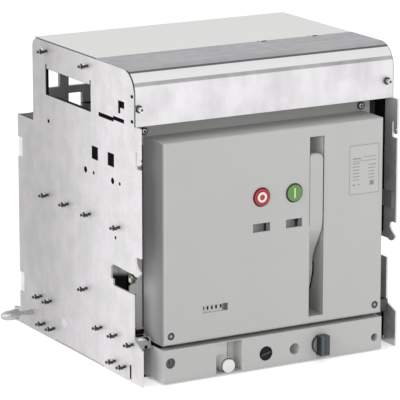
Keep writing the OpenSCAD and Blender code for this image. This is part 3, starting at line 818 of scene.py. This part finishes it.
# %% Screw heads and the lock
COVER_SCREW_X = corners("cover_screws")[1][0] - 4.6
COVER_SCREW_Z = middle("cover_screws")[2]
PANEL_SCREW_X = corners("inner_panel_screws")[1][0] - 5, corners("inner_panel_screws")[0][0] + 5
PANEL_SCREW_Y = corners("inner_panel_screws")[0][1]
PANEL_SCREW_Z = middle("inner_panel_screws")[2]
LOCK_X, LOCK_Z = -152.3, 28.0
DEEP_X, DEEP_Z = 151.5, 19.0
HEAD_PALE = make_steel("screw head", (0.56, 0.55, 0.55), rough=0.35, metallic=0.7)
HEAD_DARK = make_plastic("cover screw", (0.12, 0.12, 0.118), rough=0.4, gloss=0.3)
RING_DARK = make_plastic("shadow ring", (0.05, 0.05, 0.05), rough=0.7, gloss=0.2)
LOCK_STEEL = make_steel("lock steel", (0.14, 0.14, 0.14), metallic=0.2, rough=0.5, edge_wear_and_highlight=0.2)
LOCK_TUBE = make_plastic("lock tube", (0.24, 0.24, 0.235), rough=0.6)
DEEP_STEEL = make_steel("deep screw steel", (0.22, 0.22, 0.22), rough=0.5)


def cover_spots(back):
    return [(side * COVER_SCREW_X, FACE_Y + back, COVER_SCREW_Z) for side in SIDES]


def panel_spots(back=0.0):
    return [(x, PANEL_SCREW_Y + back, PANEL_SCREW_Z) for x in PANEL_SCREW_X]


def cover_screw_marks(bm):
    for x, y, z in cover_spots(0):
        slab(bm, (x - 1.9, y + 0.05, z - 0.3), (x + 1.9, y + 0.3, z + 0.3))
        slab(bm, (x - 0.3, y + 0.04, z - 1.9), (x + 0.3, y + 0.3, z + 1.9))


def lock_spot(back):
    return [(LOCK_X, PANEL_FRONT + back, LOCK_Z)]


def deep_spot(back):
    return [(DEEP_X, PANEL_FRONT + back, DEEP_Z)]


piece("cover_screw_heads", turns(cover_spots(1.05), [(0, 0), (0, 3.6), (0.5, 3.4), (0.85, 2.4), (0.95, 0)]),
      HEAD_DARK, UNIT)
piece("cover_screw_crosses", cover_screw_marks, HEAD_PALE, UNIT)
# dark rings of painted shade in the recesses round the cover screws
piece("cover_screw_rings", turns(cover_spots(1.0), ring_profile(3.7, 4.95, 0.1), 48), RING_DARK, UNIT)
piece("panel_screw_heads",
      turns(panel_spots(), [(0, 3.3), (0.7, 3.3), (0.9, 3), (0.9, 1.7), (0.1, 1.5), (0.1, 0)]),
      HEAD_PALE, UNIT)
# dark rings of painted shade round the panel screw heads and inside their sockets
piece("panel_screw_shades",
      both(turns(panel_spots(0.05), [(0, 4.6), (0.35, 4.6), (0.45, 3.3), (0, 3.3)]),
           turns(panel_spots(), [(0.02, 1.6), (0.3, 1.55), (0.3, 0)])), RING_DARK, UNIT)
piece("lock_core",
      turns(lock_spot(5.5), [(0, 6.4), (1.6, 6.4), (2.2, 5.6), (2.2, 4.2), (1.4, 4), (1.4, 0)], 48),
      LOCK_STEEL)
# painted shade in the key slot and at the back of the lock tube
piece("lock_slot", both(slabs(((LOCK_X - 0.8, PANEL_FRONT + 3.8, LOCK_Z - 3),
                               (LOCK_X + 0.8, PANEL_FRONT + 4.2, LOCK_Z + 3))),
                        turns(lock_spot(13), [(0, 0), (0, 6.9), (0.4, 6.9), (0.4, 0)], 48)), RING_DARK)
piece("lock_tube", turns(lock_spot(13), ring_profile(6.5, 6.95, 12.2), 48), LOCK_TUBE)
piece("deep_screw",
      both(turns(deep_spot(9.5), [(0, 4.6), (2.2, 4.6), (2.8, 4), (2.8, 2.2), (0.9, 2), (0.9, 0)], 48),
           turns(deep_spot(13.6), [(0, 0), (0, 5.1), (4, 5.1), (4, 4.6)], 48)), DEEP_STEEL)
print("front screws and lock:", len(PIECES))

# %% [markdown]
# ## Knob, dial and release button
# The knob is slate plastic with a painted highlight along the waist of its grip, painted shade on
# its left side and a pale skirt behind it; the dial is a black bowl with a grey pointer. Round the
# white button a dark ring of painted shade fills the gap by the guide tube. These small contrasts
# make the row readable from afar.

# %% Marks of the knob and the dial
KNOB_X, _, KNOB_Z = middle("selector_knob")
DIAL_X, _, DIAL_Z = middle("position_dial")
BUTTON_X, _, RELEASE_Z = middle("release_button")
POINTER_TILT = math.radians(14)
POINTER = make_plastic("pointer grey", (0.055, 0.056, 0.060), gloss=0.25)
KNOB_PALE = make_plastic("knob skirt", (0.27, 0.27, 0.265))
KNOB_RIM = make_plastic("knob collar", (0.11, 0.11, 0.11), gloss=0.2)


def make_knob():
    """Slate plastic with painted shade on its left side, a painted highlight on the waist of the grip and a
    plainer grey on the right.
    """
    material, tree = new_material("knob slate", Specular_IOR_Level=0.25)
    grain = use_group(tree, MOULDED_GRAIN)
    x = KNOB_X / 1000
    # painted highlight on the waist of the grip; the left faces get painted shade
    painted_sheen = times(tree, gradient(tree, ALONG_X, x - 0.0052, x - 0.0036),
                  gradient(tree, ALONG_X, x - 0.0014, x - 0.0030))
    tone = blend(tree, grain["Tone"], (0.052, 0.060, 0.069, 1), (0.060, 0.069, 0.079, 1))
    tone = blend(tree, painted_sheen, tone, (0.125, 0.150, 0.170, 1))
    tone = blend(tree, gradient(tree, ALONG_X, x + 0.0010, x + 0.0020), tone, (0.083, 0.084, 0.088, 1))
    tone = blend(tree, use_group(tree, SHEET_FACES)["Left"], tone, grey(0.022))
    return finish(material, tone, spread(tree, grain["Tone"], 0.0, 1.0, 0.45, 0.55), grain["Height"], 0.00003)


def dial_pointer(bm):
    c, s = math.cos(POINTER_TILT), math.sin(POINTER_TILT)
    points = [(DIAL_X + a * c - b * s, DIAL_Z + a * s + b * c)
              for a, b in ((-7.2, -1.3), (6.2, -1.3), (7.2, 0), (6.2, 1.3), (-7.2, 1.3))]
    outline(bm, points, "y", PANEL_FRONT - 0.95, 0.3)


dress(make_knob(), "selector_knob")
piece("dial_bowl", turns([(DIAL_X, PANEL_FRONT + 0.5, DIAL_Z)],
                         [(0, 8.9), (0.55, 9.0), (0.55, 8.3), (0.1, 7.4), (0.02, 0)], 56), BLACK, "dial_body")
piece("dial_pointer", dial_pointer, POINTER, "dial_body", bevel=0.15)
piece("knob_skirt", turns([(KNOB_X, PANEL_FRONT - 3.0, KNOB_Z)], ring_profile(7.0, 11.7, 0.15), 56),
      KNOB_PALE, "knob_body")
piece("knob_collar", turns([(KNOB_X, PANEL_FRONT + 0.02, KNOB_Z)], ring_profile(12.3, 12.9, 0.8), 56),
      KNOB_RIM, bevel=0.1)
# a dark ring of painted shade in the gap round the release button
piece("release_collar", turns([(BUTTON_X, -2.75, RELEASE_Z)], ring_profile(9.25, 10.1, 0.25), 56),
      RING_DARK)
print("knob, dial, release button:", len(PIECES))

# %% [markdown]
# ## Studs, nuts and threads
# Each stud is a dark rod through a pale nut. One CAD node holds the rods and nuts of a side, so
# masks along X colour the nuts, with painted shade lines at the nut's faces and a painted highlight
# ring near the tip. The rod's lower side and the nut's upright facets get painted shade. The
# thread is a band pattern in the bump, which costs no faces at all.

# %% Finish: studs with pale nuts
THREAD_PITCH = 0.001
SOFT = 0.0002


def make_stud(name, direction, bands, rod, under=0.0, facet=0.0):
    """Threaded rod with bands of (from, to, grey) along a direction; under is the grey of painted
    shade on the rod's lower side, facet the grey of painted shade on the nut's upright facets."""
    material, tree = new_material(name, Metallic=0.5)
    along = dot(tree, on_object(tree), direction)
    far = calc(tree, "ABSOLUTE", along) if direction == ALONG_X else along
    grain = use_group(tree, MOULDED_GRAIN, Scale=STEEL_GRAIN, Cloud=260.0)
    tone = blend(tree, grain["Tone"], grey(rod * 0.7), grey(rod))
    inside = 0.0
    for start, end, level in bands:
        mask = times(tree, spread(tree, far, start - SOFT, start),
                     spread(tree, far, end, end + SOFT, 1.0, 0.0))
        tone = blend(tree, mask, tone, blend(tree, grain["Tone"], grey(level * 0.7), grey(level)))
        inside = calc(tree, "MAXIMUM", inside, mask)
    outside = calc(tree, "SUBTRACT", 1.0, inside)
    if under:
        # painted shade on the rod's lower side and on the nut's upright facets
        up = part_of(tree, add_node(tree, "ShaderNodeNewGeometry").outputs["Normal"], "Z")
        tone = blend(tree, times(tree, spread(tree, up, 0.15, -0.05), outside), tone, grey(under))
        upright = times(tree, spread(tree, up, 0.45, 0.25), spread(tree, up, -0.45, -0.25))
        tone = blend(tree, times(tree, upright, inside), tone, grey(facet))
    thread = times(tree, calc(tree, "SINE", times(tree, far, math.tau / THREAD_PITCH)), outside)
    return finish(material, tone, spread(tree, grain["Tone"], 0.0, 1.0, 0.35, 0.5), thread, 0.0001)


def shifted(start, bands):
    return [(start + near, start + far, level) for near, far, level in bands]


HOOD_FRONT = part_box("hood")[0][1]
# bands from the plate outwards: a painted shade line, the pale nut, another painted shade line, and a painted
# highlight ring near the tip
NUT_BANDS = ((0.0044, 0.0051, 0.03), (0.0053, 0.0088, 0.88), (0.0090, 0.0095, 0.04), (0.0110, 0.0120, 0.90))
PLATE_STUD = make_stud("plate stud", ALONG_X, shifted(HALF_W / 1000, NUT_BANDS), 0.07, 0.025, 0.05)
HOOD_STUD = make_stud("hood stud", ALONG_Y,
                      shifted(HOOD_FRONT, ((-0.0042, -0.0032, 0.03), (-0.0031, -0.0004, 0.26))), 0.62)
TIP_STEEL = make_steel("stud tip", (0.95, 0.95, 0.95), metallic=0.1)
CORE_STEEL = make_steel("stud core", (0.16, 0.16, 0.165), rough=0.5, metallic=0.4)
STUD_LOW, STUD_HIGH = corners("hood_screws")
dress(PLATE_STUD, "left_plate_studs", "right_plate_studs")
dress(HOOD_STUD, "hood_screws")


def stud_spots(back):
    return [(x, STUD_LOW[1] + back, middle("hood_screws")[2])
            for x in (STUD_LOW[0] + 4.8, STUD_HIGH[0] - 4.8)]


piece("hood_stud_tips", turns(stud_spots(0.35), [(0, 3.5), (0.4, 3.5), (0.5, 3.1), (0.5, 2.1), (0.3, 2.1)]),
      TIP_STEEL)
piece("hood_stud_cores", turns(stud_spots(0.2), [(0, 2.1), (0.3, 2.1), (0.45, 1.2), (0.3, 0)], 32),
      CORE_STEEL)
print("studs:", PLATE_STUD.name, HOOD_STUD.name)

# %% [markdown]
# ## Fittings on the side plates
# Each plate has a lanced tab beside the shutter slot and a pressed plug in an unused hole. Both
# could be cut in the sheet; as thin pieces on its face they keep the frame simple and still catch
# the light.

# %% Lanced tabs and plugs
BEHIND = HALF_W - 2.4
TAB_BRIGHT = make_steel("lanced tab", (0.86, 0.86, 0.87), rough=0.45, metallic=0.3)
PLUG_PALE = make_steel("pressed plug", (0.80, 0.80, 0.80), rough=0.5, metallic=0.3)
PAWL_PALE = make_steel("pawl head", (0.62, 0.63, 0.53), rough=0.45, metallic=0.3)
SHADE_BLACK = make_plastic("shade black", (0.007, 0.006, 0.008), rough=0.85, gloss=0.02)


def pressed_plugs(bm):
    profile = [(-0.1, 6.4), (0.12, 6.4), (0.3, 5.6), (0.2, 0)]
    for side in SIDES:
        turned(bm, (side * HALF_W, 212.9, 31), (side, 0, 0), profile, 48)


def lug_bend_highlights(bm):
    for x in (-HALF_W, HALF_W):
        for z in (46, 232):
            slab(bm, (x - 0.1, 331, z), (x + 0.25, 341.3, z + 26))


WINDOW_EDGES = ((131.4, 134.9, 328, 370.4), (256.2, 259.8, 328, 370.4), (134.9, 256.2, 362.6, 364.4))
RIVET = [(0, 3.3), (0.25, 3.3), (0.5, 2.8), (0.5, 1), (0.3, 1)]
# bright strips as painted highlights on the rounded bends of the rear lugs
piece("lug_bend_highlights", lug_bend_highlights, TAB_BRIGHT, bevel=0.1)
# black strips of painted shade just inside the edges of the side windows
piece("window_shades",
      both(slabs(*[((BEHIND - 0.6, y0, z0), (BEHIND - 0.05, y1, z1)) for y0, y1, z0, z1 in WINDOW_EDGES],
                 mirrored=True),
           plates([(134.9, 343), (168, 334.6), (171, 332.6), (134.9, 338.2)], BEHIND - 3.6, -0.8)),
      SHADE_BLACK)
piece("pawl_head",
      both(turns([(-BEHIND, 33.4, 131.6)], RIVET, 28, (-1, 0, 0)),
           plate([(27.5, 134.6), (31, 136.4), (30.4, 138), (26.5, 136)], "x", -BEHIND - 0.1, 0.3)), PAWL_PALE)
piece("lanced_tabs", plates([(70, 336), (44, 336.6), (45, 343.6), (50, 341.8)], HALF_W, 0.5),
      TAB_BRIGHT, bevel=0.15)
piece("pressed_plugs", pressed_plugs, PLUG_PALE)
print("fittings:", len(PIECES))

# %% [markdown]
# ## What fills the gaps beside the cover
# Between the cover and the plates the real object lies deep in shade. Small dark shapes stand there
# as painted shade: sheets beside the inner panel and inside the plates, rail mouths, an arch on the
# latch, a lug under the cover, and a sheet behind the opening of each plate. Without them light
# falls through. Simple shapes do, as only slivers show.

# %% Finishes in the gaps
GAP_BLACK = make_plastic("gap black", (0.008, 0.008, 0.009), rough=0.8, gloss=0.03)
LUG_GREY = make_plastic("lug grey", (0.27, 0.27, 0.265), rough=0.6)
FLANK_SHADE = make_plastic("flank shade", (0.032, 0.032, 0.034), rough=0.8, gloss=0.1)
SOFT_SHADE = make_plastic("soft shade", (0.10, 0.10, 0.105), rough=0.8, gloss=0.1)
POCKET_BACK = make_plastic("pocket back with painted light", (0.86, 0.86, 0.84), corner=0.1)
POCKET_SIDE = make_plastic("pocket side with painted shade", (0.60, 0.60, 0.59), corner=0.15)


def make_opening_shade():
    """Grey sheet behind the opening, with painted shade turning it black along its lower end."""
    material, tree = new_material("opening sheet with painted shade", Roughness=0.9, Specular_IOR_Level=0.02)
    slant = 0.24
    fall = gradient(tree, (0.0, slant, 1.0), slant * EDGE_Y + 0.144, slant * EDGE_Y + 0.153)
    grain = use_group(tree, MOULDED_GRAIN, Cloud=60.0)
    tone = blend(tree, fall, grey(0.003), blend(tree, grain["Tone"], grey(0.21), grey(0.34)))
    return finish(material, tone, None, grain["Height"], 0.00002)


OPENING_SHADE = make_opening_shade()
print("gap finishes ready")

# %% Shade sheets, lugs and pocket walls
PANEL_Y, PANEL_TOP = corners("inner_panel")[0][1], corners("inner_panel")[1][2]
COVER_X, COVER_FOOT = corners("front_cover")[1][0], corners("front_cover")[0][2]
LOWER_TOP = corners("lower_panel")[1][2]
GEARBOX_X = corners("racking_gearbox")[1][0]
TOP_Z = corners("top_cover")[1][2] - 0.6
WELL_LEFT, WELL_RIGHT = corners("handle_well")[0][0] + 1.9, corners("handle_well")[1][0] - 2
GRIP_LEFT = corners("charging_handle")[0][0] - 0.12
POCKET_Y = PANEL_FRONT + 21.6


def flank_shades(bm):
    for side, z0, z1 in ((-1, 128, PANEL_TOP), (1, 64, 107), (1, 128, PANEL_TOP)):
        points = ((172.5, z0), (182, z0), (182, z1 - 4), (178, z1), (172.5, z1))
        outline(bm, [(side * x, z) for x, z in points], "y", PANEL_Y + 0.6, 1.8)


def cover_lugs(side):
    return slabs(*[((side * x0, 6, LOWER_TOP + 0.2), (side * x1, 30, COVER_FOOT - 0.6))
                   for x0, x1 in ((141.5, 153), (155.5, 162))])


ARCH = [(-181, 58.2), (-176, 59.8), (-172.4, 59.4), (-170.2, 57), (-170.4, 54.2), (-172.4, 54),
        (-173, 56.6), (-175.5, 57.9)]
PINS = [(side * 174.2, 17.02, 46.6) for side in SIDES]
WING = [(-172.5, 64), (-182, 64), (-182, 104), (-179, 107), (-172.5, 107)]
INNER_SHADE_EDGE = [(30, 150), (36, 146), (130, 146), (130, 328), (134, 328), (134, 374), (130, 392), (48, 392),
              (17.5, 372), (17.5, 332), (30, 326)]
OPENING_EDGE = [(46, 112), (84, 112), (84, 147), (40, 147), (42, 134)]
WELL_SHADE_EDGE = [(17, 128), (16.5, 118), (17.4, 110), (20.2, 100.6), (24.7, 88), (33, 88), (28.5, 100.6),
             (25, 112), (21, 122)]
# black sheets of painted shade in the rail mouths and over the runners
piece("rail_mouths", slabs(((170, 28.4, 50), (BEHIND - 0.2, 29.6, 59.9)),
                           ((-BEHIND + 0.2, 28.4, 50), (-171.6, 29.6, 59.9))), GAP_BLACK, bevel=0.2)
piece("runner_caps", slabs(((-BEHIND + 1, 28.4, 60.6), (-171.6, 29.6, 66))), GAP_BLACK, UNIT, 0.2)
piece("latch_bars", slabs(((-185.4, 16.5, 56), (-175.8, 17.1, 59.2))), TAB_BRIGHT, bevel=0.15)
# black arch and pin discs of painted shade on the latches
piece("latch_arches", both(plate(ARCH, "y", 16.3, 0.8),
                           turns(PINS, [(0, 0), (0, 2.3), (0.06, 2.3), (0.06, 0)], 24)), GAP_BLACK)
# black sheets of painted shade beside the inner panel
piece("flank_shades", flank_shades, FLANK_SHADE, UNIT, 0.3)
piece("panel_wing", plate(WING, "y", PANEL_Y + 0.6, 1.8), PANEL_GREY, UNIT, 0.3)
# black sheets of painted shade on the inner faces of the plates
piece("plate_inner_shades", plates(INNER_SHADE_EDGE, BEHIND - 0.1, -0.8), GAP_BLACK, bevel=0.2)
# grey sheet behind each opening, black at its lower end as painted shade
piece("opening_sheets", plates(OPENING_EDGE, BEHIND - 0.2, -0.8), OPENING_SHADE)
# soft strips of painted shade on the inner panel beside the cover's edges
piece("cover_shades", slabs(((COVER_X + 0.3, PANEL_Y - 0.35, 64), (COVER_X + 2.4, PANEL_Y + 0.05, 300)),
                            mirrored=True), SOFT_SHADE, UNIT)
piece("grip_fillet", slabs(((WELL_LEFT, -5.6, 152), (GRIP_LEFT, -4.4, 276))), COVER_GREY, UNIT)
# a black strip of painted shadow beside the lever in the well
piece("well_gap_shade", plate(WELL_SHADE_EDGE, "x", WELL_RIGHT - 0.3, 0.35), SHADE_BLACK, UNIT)
# the left lug is black as painted shade; the right one keeps its grey
piece("cover_lug_left", cover_lugs(-1), GAP_BLACK, bevel=0.4)
piece("cover_lug_right", cover_lugs(1), LUG_GREY, bevel=0.4)
piece("gearbox_flanges", slabs(((GEARBOX_X - 0.2, 23, 0.2), (GEARBOX_X + 2.2, 110, 4.3)), mirrored=True),
      TAB_BRIGHT, bevel=0.15)
# a black strip of painted shade inside the right plate
piece("plate_shade", slabs(((BEHIND - 0.8, 26.5, 8), (BEHIND, 30.5, 57))), SHADE_BLACK)
# the pocket's back wall is painted lighter as painted light; its right strip and wall are a middle grey as
# painted shade
piece("pocket_back", slabs(((-85.9, POCKET_Y, 4.6), (-57.5, POCKET_Y + 0.5, 45.2))), POCKET_BACK)
piece("pocket_side", slabs(((-57.4, POCKET_Y - 0.4, 4.6), (-48.4, POCKET_Y + 0.5, 45.2)),
                           ((-48.5, PANEL_FRONT + 0.8, 4.6), (-47.9, POCKET_Y + 0.4, 44.4))),
      POCKET_SIDE)
# the guide sleeve is white so that its side in shade reads light: painted light
piece("guide_sleeve", turns([(BUTTON_X, 13.6, RELEASE_Z)], ring_profile(9.9, 10.35, 16.2), 56), WHITE)
# a grey line of painted shade in the corner of the pocket
piece("pocket_corner_shade", slabs(((-58.3, POCKET_Y - 0.2, 4.6), (-56.9, POCKET_Y + 0.1, 45.2))), LUG_GREY)
# dark marks of painted shadow beside the tabs on the top cover
piece("hood_clip_shadows", slabs(*[((x - 3.4, 112.6, TOP_Z - 0.3), (x + 3.4, 115.4, TOP_Z + 0.55))
                            for x in (53.6, 130.8)]), SHADE_BLACK, bevel=0.12)
print("gap parts:", len(PIECES))

# %% [markdown]
# ## The back and the terminals
# The rear base is a moulded block with barriers between the poles and a frame round each
# terminal; each bolt hole gets a chamfer ring. None of it shows from the front, but the part will
# be seen from all sides.

# %% Rear base ribs and terminal rings
BASE_BACK = corners("rear_base")[1][1]
BAR_END = corners(BARS[0])[1][1]
POLE_PITCH = middle(BARS[1])[0] - middle(BARS[0])[0]
BARRIER_EDGE = [(BASE_BACK - 0.5, 30), (BASE_BACK + 14, 34), (BASE_BACK + 14, 262), (BASE_BACK - 0.5, 268)]


def rear_frames(bm):
    for name in BARS:
        (x0, _, z0), (x1, _, z1) = corners(name)
        lower, upper, *sides = frame_bars(x0 - 5, x1 + 5, z0 - 5, z1 + 5, 4)
        for left, right, foot, head in (upper, lower, *sides):
            slab(bm, (left, BASE_BACK - 0.5, foot), (right, BASE_BACK + 5, head))


def rear_barriers(bm):
    for share in (-1.5, -0.5, 0.5, 1.5):
        outline(bm, BARRIER_EDGE, "x", share * POLE_PITCH - 1.5, 3)
    for z in (66, 162, 258):
        slab(bm, (-1.5 * POLE_PITCH, BASE_BACK - 0.5, z), (1.5 * POLE_PITCH, BASE_BACK + 3, z + 2.5))


SCREW_SPOTS = [(side * 158, BASE_BACK, z) for side in SIDES for z in (24, 90, 162, 272)]
BOLT_SPOTS = [(middle(name)[0] + side * 15, BAR_END - 20, corners(name)[1][2])
              for name in BARS for side in SIDES]
piece("rear_frames", rear_frames, BASE_DARK, bevel=0.6)
piece("rear_barriers", rear_barriers, BASE_DARK, bevel=0.5)
piece("rear_screws", turns(SCREW_SPOTS, [(0, 4.5), (1.8, 4.5), (2.6, 3.8), (2.6, 2), (1, 1.8), (1, 0)], 32,
                           ALONG_Y), HEAD_PALE)
piece("terminal_rings", turns(BOLT_SPOTS, ring_profile(5.6, 7.2, 0.12), 40, ALONG_Z), HEAD_PALE)
print("back:", len(PIECES))

# %% [markdown]
# ## Arc chutes
# Through the side windows the arc chutes show: dark moulded blocks with a row of splitter
# plates in the top and a low frame round them.

# %% Splitter plates and frames
CHUTE_Y0, CHUTE_Y1, CHUTE_TOP = corners("arc_chutes")[0][1], *corners("arc_chutes")[1][1:]
CHUTE_X = (-POLE_PITCH, 0, POLE_PITCH)


def splitter_plates(bm):
    for x in CHUTE_X:
        for k in range(12):
            y = CHUTE_Y0 + 9 + k * 11.2
            slab(bm, (x - 38, y, CHUTE_TOP - 0.5), (x + 38, y + 2, CHUTE_TOP + 0.8))


def chute_frames(bm):
    for x in CHUTE_X:
        for left, right, front, back in frame_bars(x - 47, x + 47, CHUTE_Y0 + 1, CHUTE_Y1 - 1, 4):
            slab(bm, (left, front, CHUTE_TOP - 0.5), (right, back, CHUTE_TOP + 1.4))


piece("splitter_plates", splitter_plates, RAIL_STEEL, UNIT)
piece("chute_frames", chute_frames, HOUSING_DARK, UNIT, bevel=0.5)
print("pieces in all:", len(PIECES))

# %% [markdown]
# ## Camera, floor and light
# The portrait is taken from the left, a little above, with a long lens that keeps upright edges
# nearly parallel. The floor is plain and pale. The world is white for the camera and for
# reflections but dimmer for light, so the background stays clean while the greys render as they
# are written. Two large soft lamps shape the object.

# %% Camera
def set_camera():
    lens = bpy.data.cameras.new("portrait lens")
    lens.sensor_width = 36
    lens.lens = 262.56
    turn = (math.radians(90 - 13.563), 0.0, math.radians(-29.483))
    bpy.context.scene.camera = add_to_scene("portrait camera", lens, (-1.84868, -3.27152, 1.08647), turn)


set_camera()
print("camera at", [round(v, 2) for v in bpy.context.scene.camera.location])


# %% Floor and world
FLOOR_REACH = 6
FLOOR_GLOW = 0.45
SKY_STRENGTH = 0.70


def background_rays(tree):
    """1 for rays from the camera, from reflections and through glass, else 0."""
    path = add_node(tree, "ShaderNodeLightPath").outputs
    rest = calc(tree, "MAXIMUM", path["Is Glossy Ray"], path["Is Transmission Ray"])
    return calc(tree, "MAXIMUM", path["Is Camera Ray"], rest)


def set_floor():
    mesh = bpy.data.meshes.new("studio floor")
    edge = [(x * FLOOR_REACH, y * FLOOR_REACH, 0) for x, y in ((-1, -1), (1, -1), (1, 1), (-1, 1))]
    mesh.from_pydata(edge, [], [(0, 1, 2, 3)])
    material, tree = new_material("studio floor", Roughness=0.9, Specular_IOR_Level=0.1,
                                  Base_Color=grey(0.93), Emission_Color=PURE_WHITE)
    glow = tree.nodes["Principled BSDF"].inputs["Emission Strength"]
    tree.links.new(times(tree, background_rays(tree), FLOOR_GLOW), glow)
    mesh.materials.append(material)
    floor = add_to_scene("studio floor", mesh)


def set_world():
    world = bpy.data.worlds.new("studio")
    bpy.context.scene.world = world
    world.use_nodes = True
    tree = world.node_tree
    sky = tree.nodes["Background"].inputs
    sky["Color"].default_value = PURE_WHITE
    tree.links.new(spread(tree, background_rays(tree), 0.0, 1.0, SKY_STRENGTH, 1.0), sky["Strength"])


set_floor()
set_world()
print("floor and world ready")


# %% Lamps
def add_lamp(name, spot, watts):
    light = bpy.data.lights.new(name, "AREA")
    light.size = 1.6
    light.energy = watts
    aim = Vector((0, 0, 0.2)) - Vector(spot)
    add_to_scene(name, light, spot, aim.to_track_quat("-Z", "Y").to_euler())


add_lamp("front lamp", (-0.6, -3.2, 1.4), 20)
add_lamp("left lamp", (-3.0, -1.2, 1.2), 18)
bpy.context.scene.view_settings.view_transform = "Standard"
print("lamps:", len(bpy.data.lights))
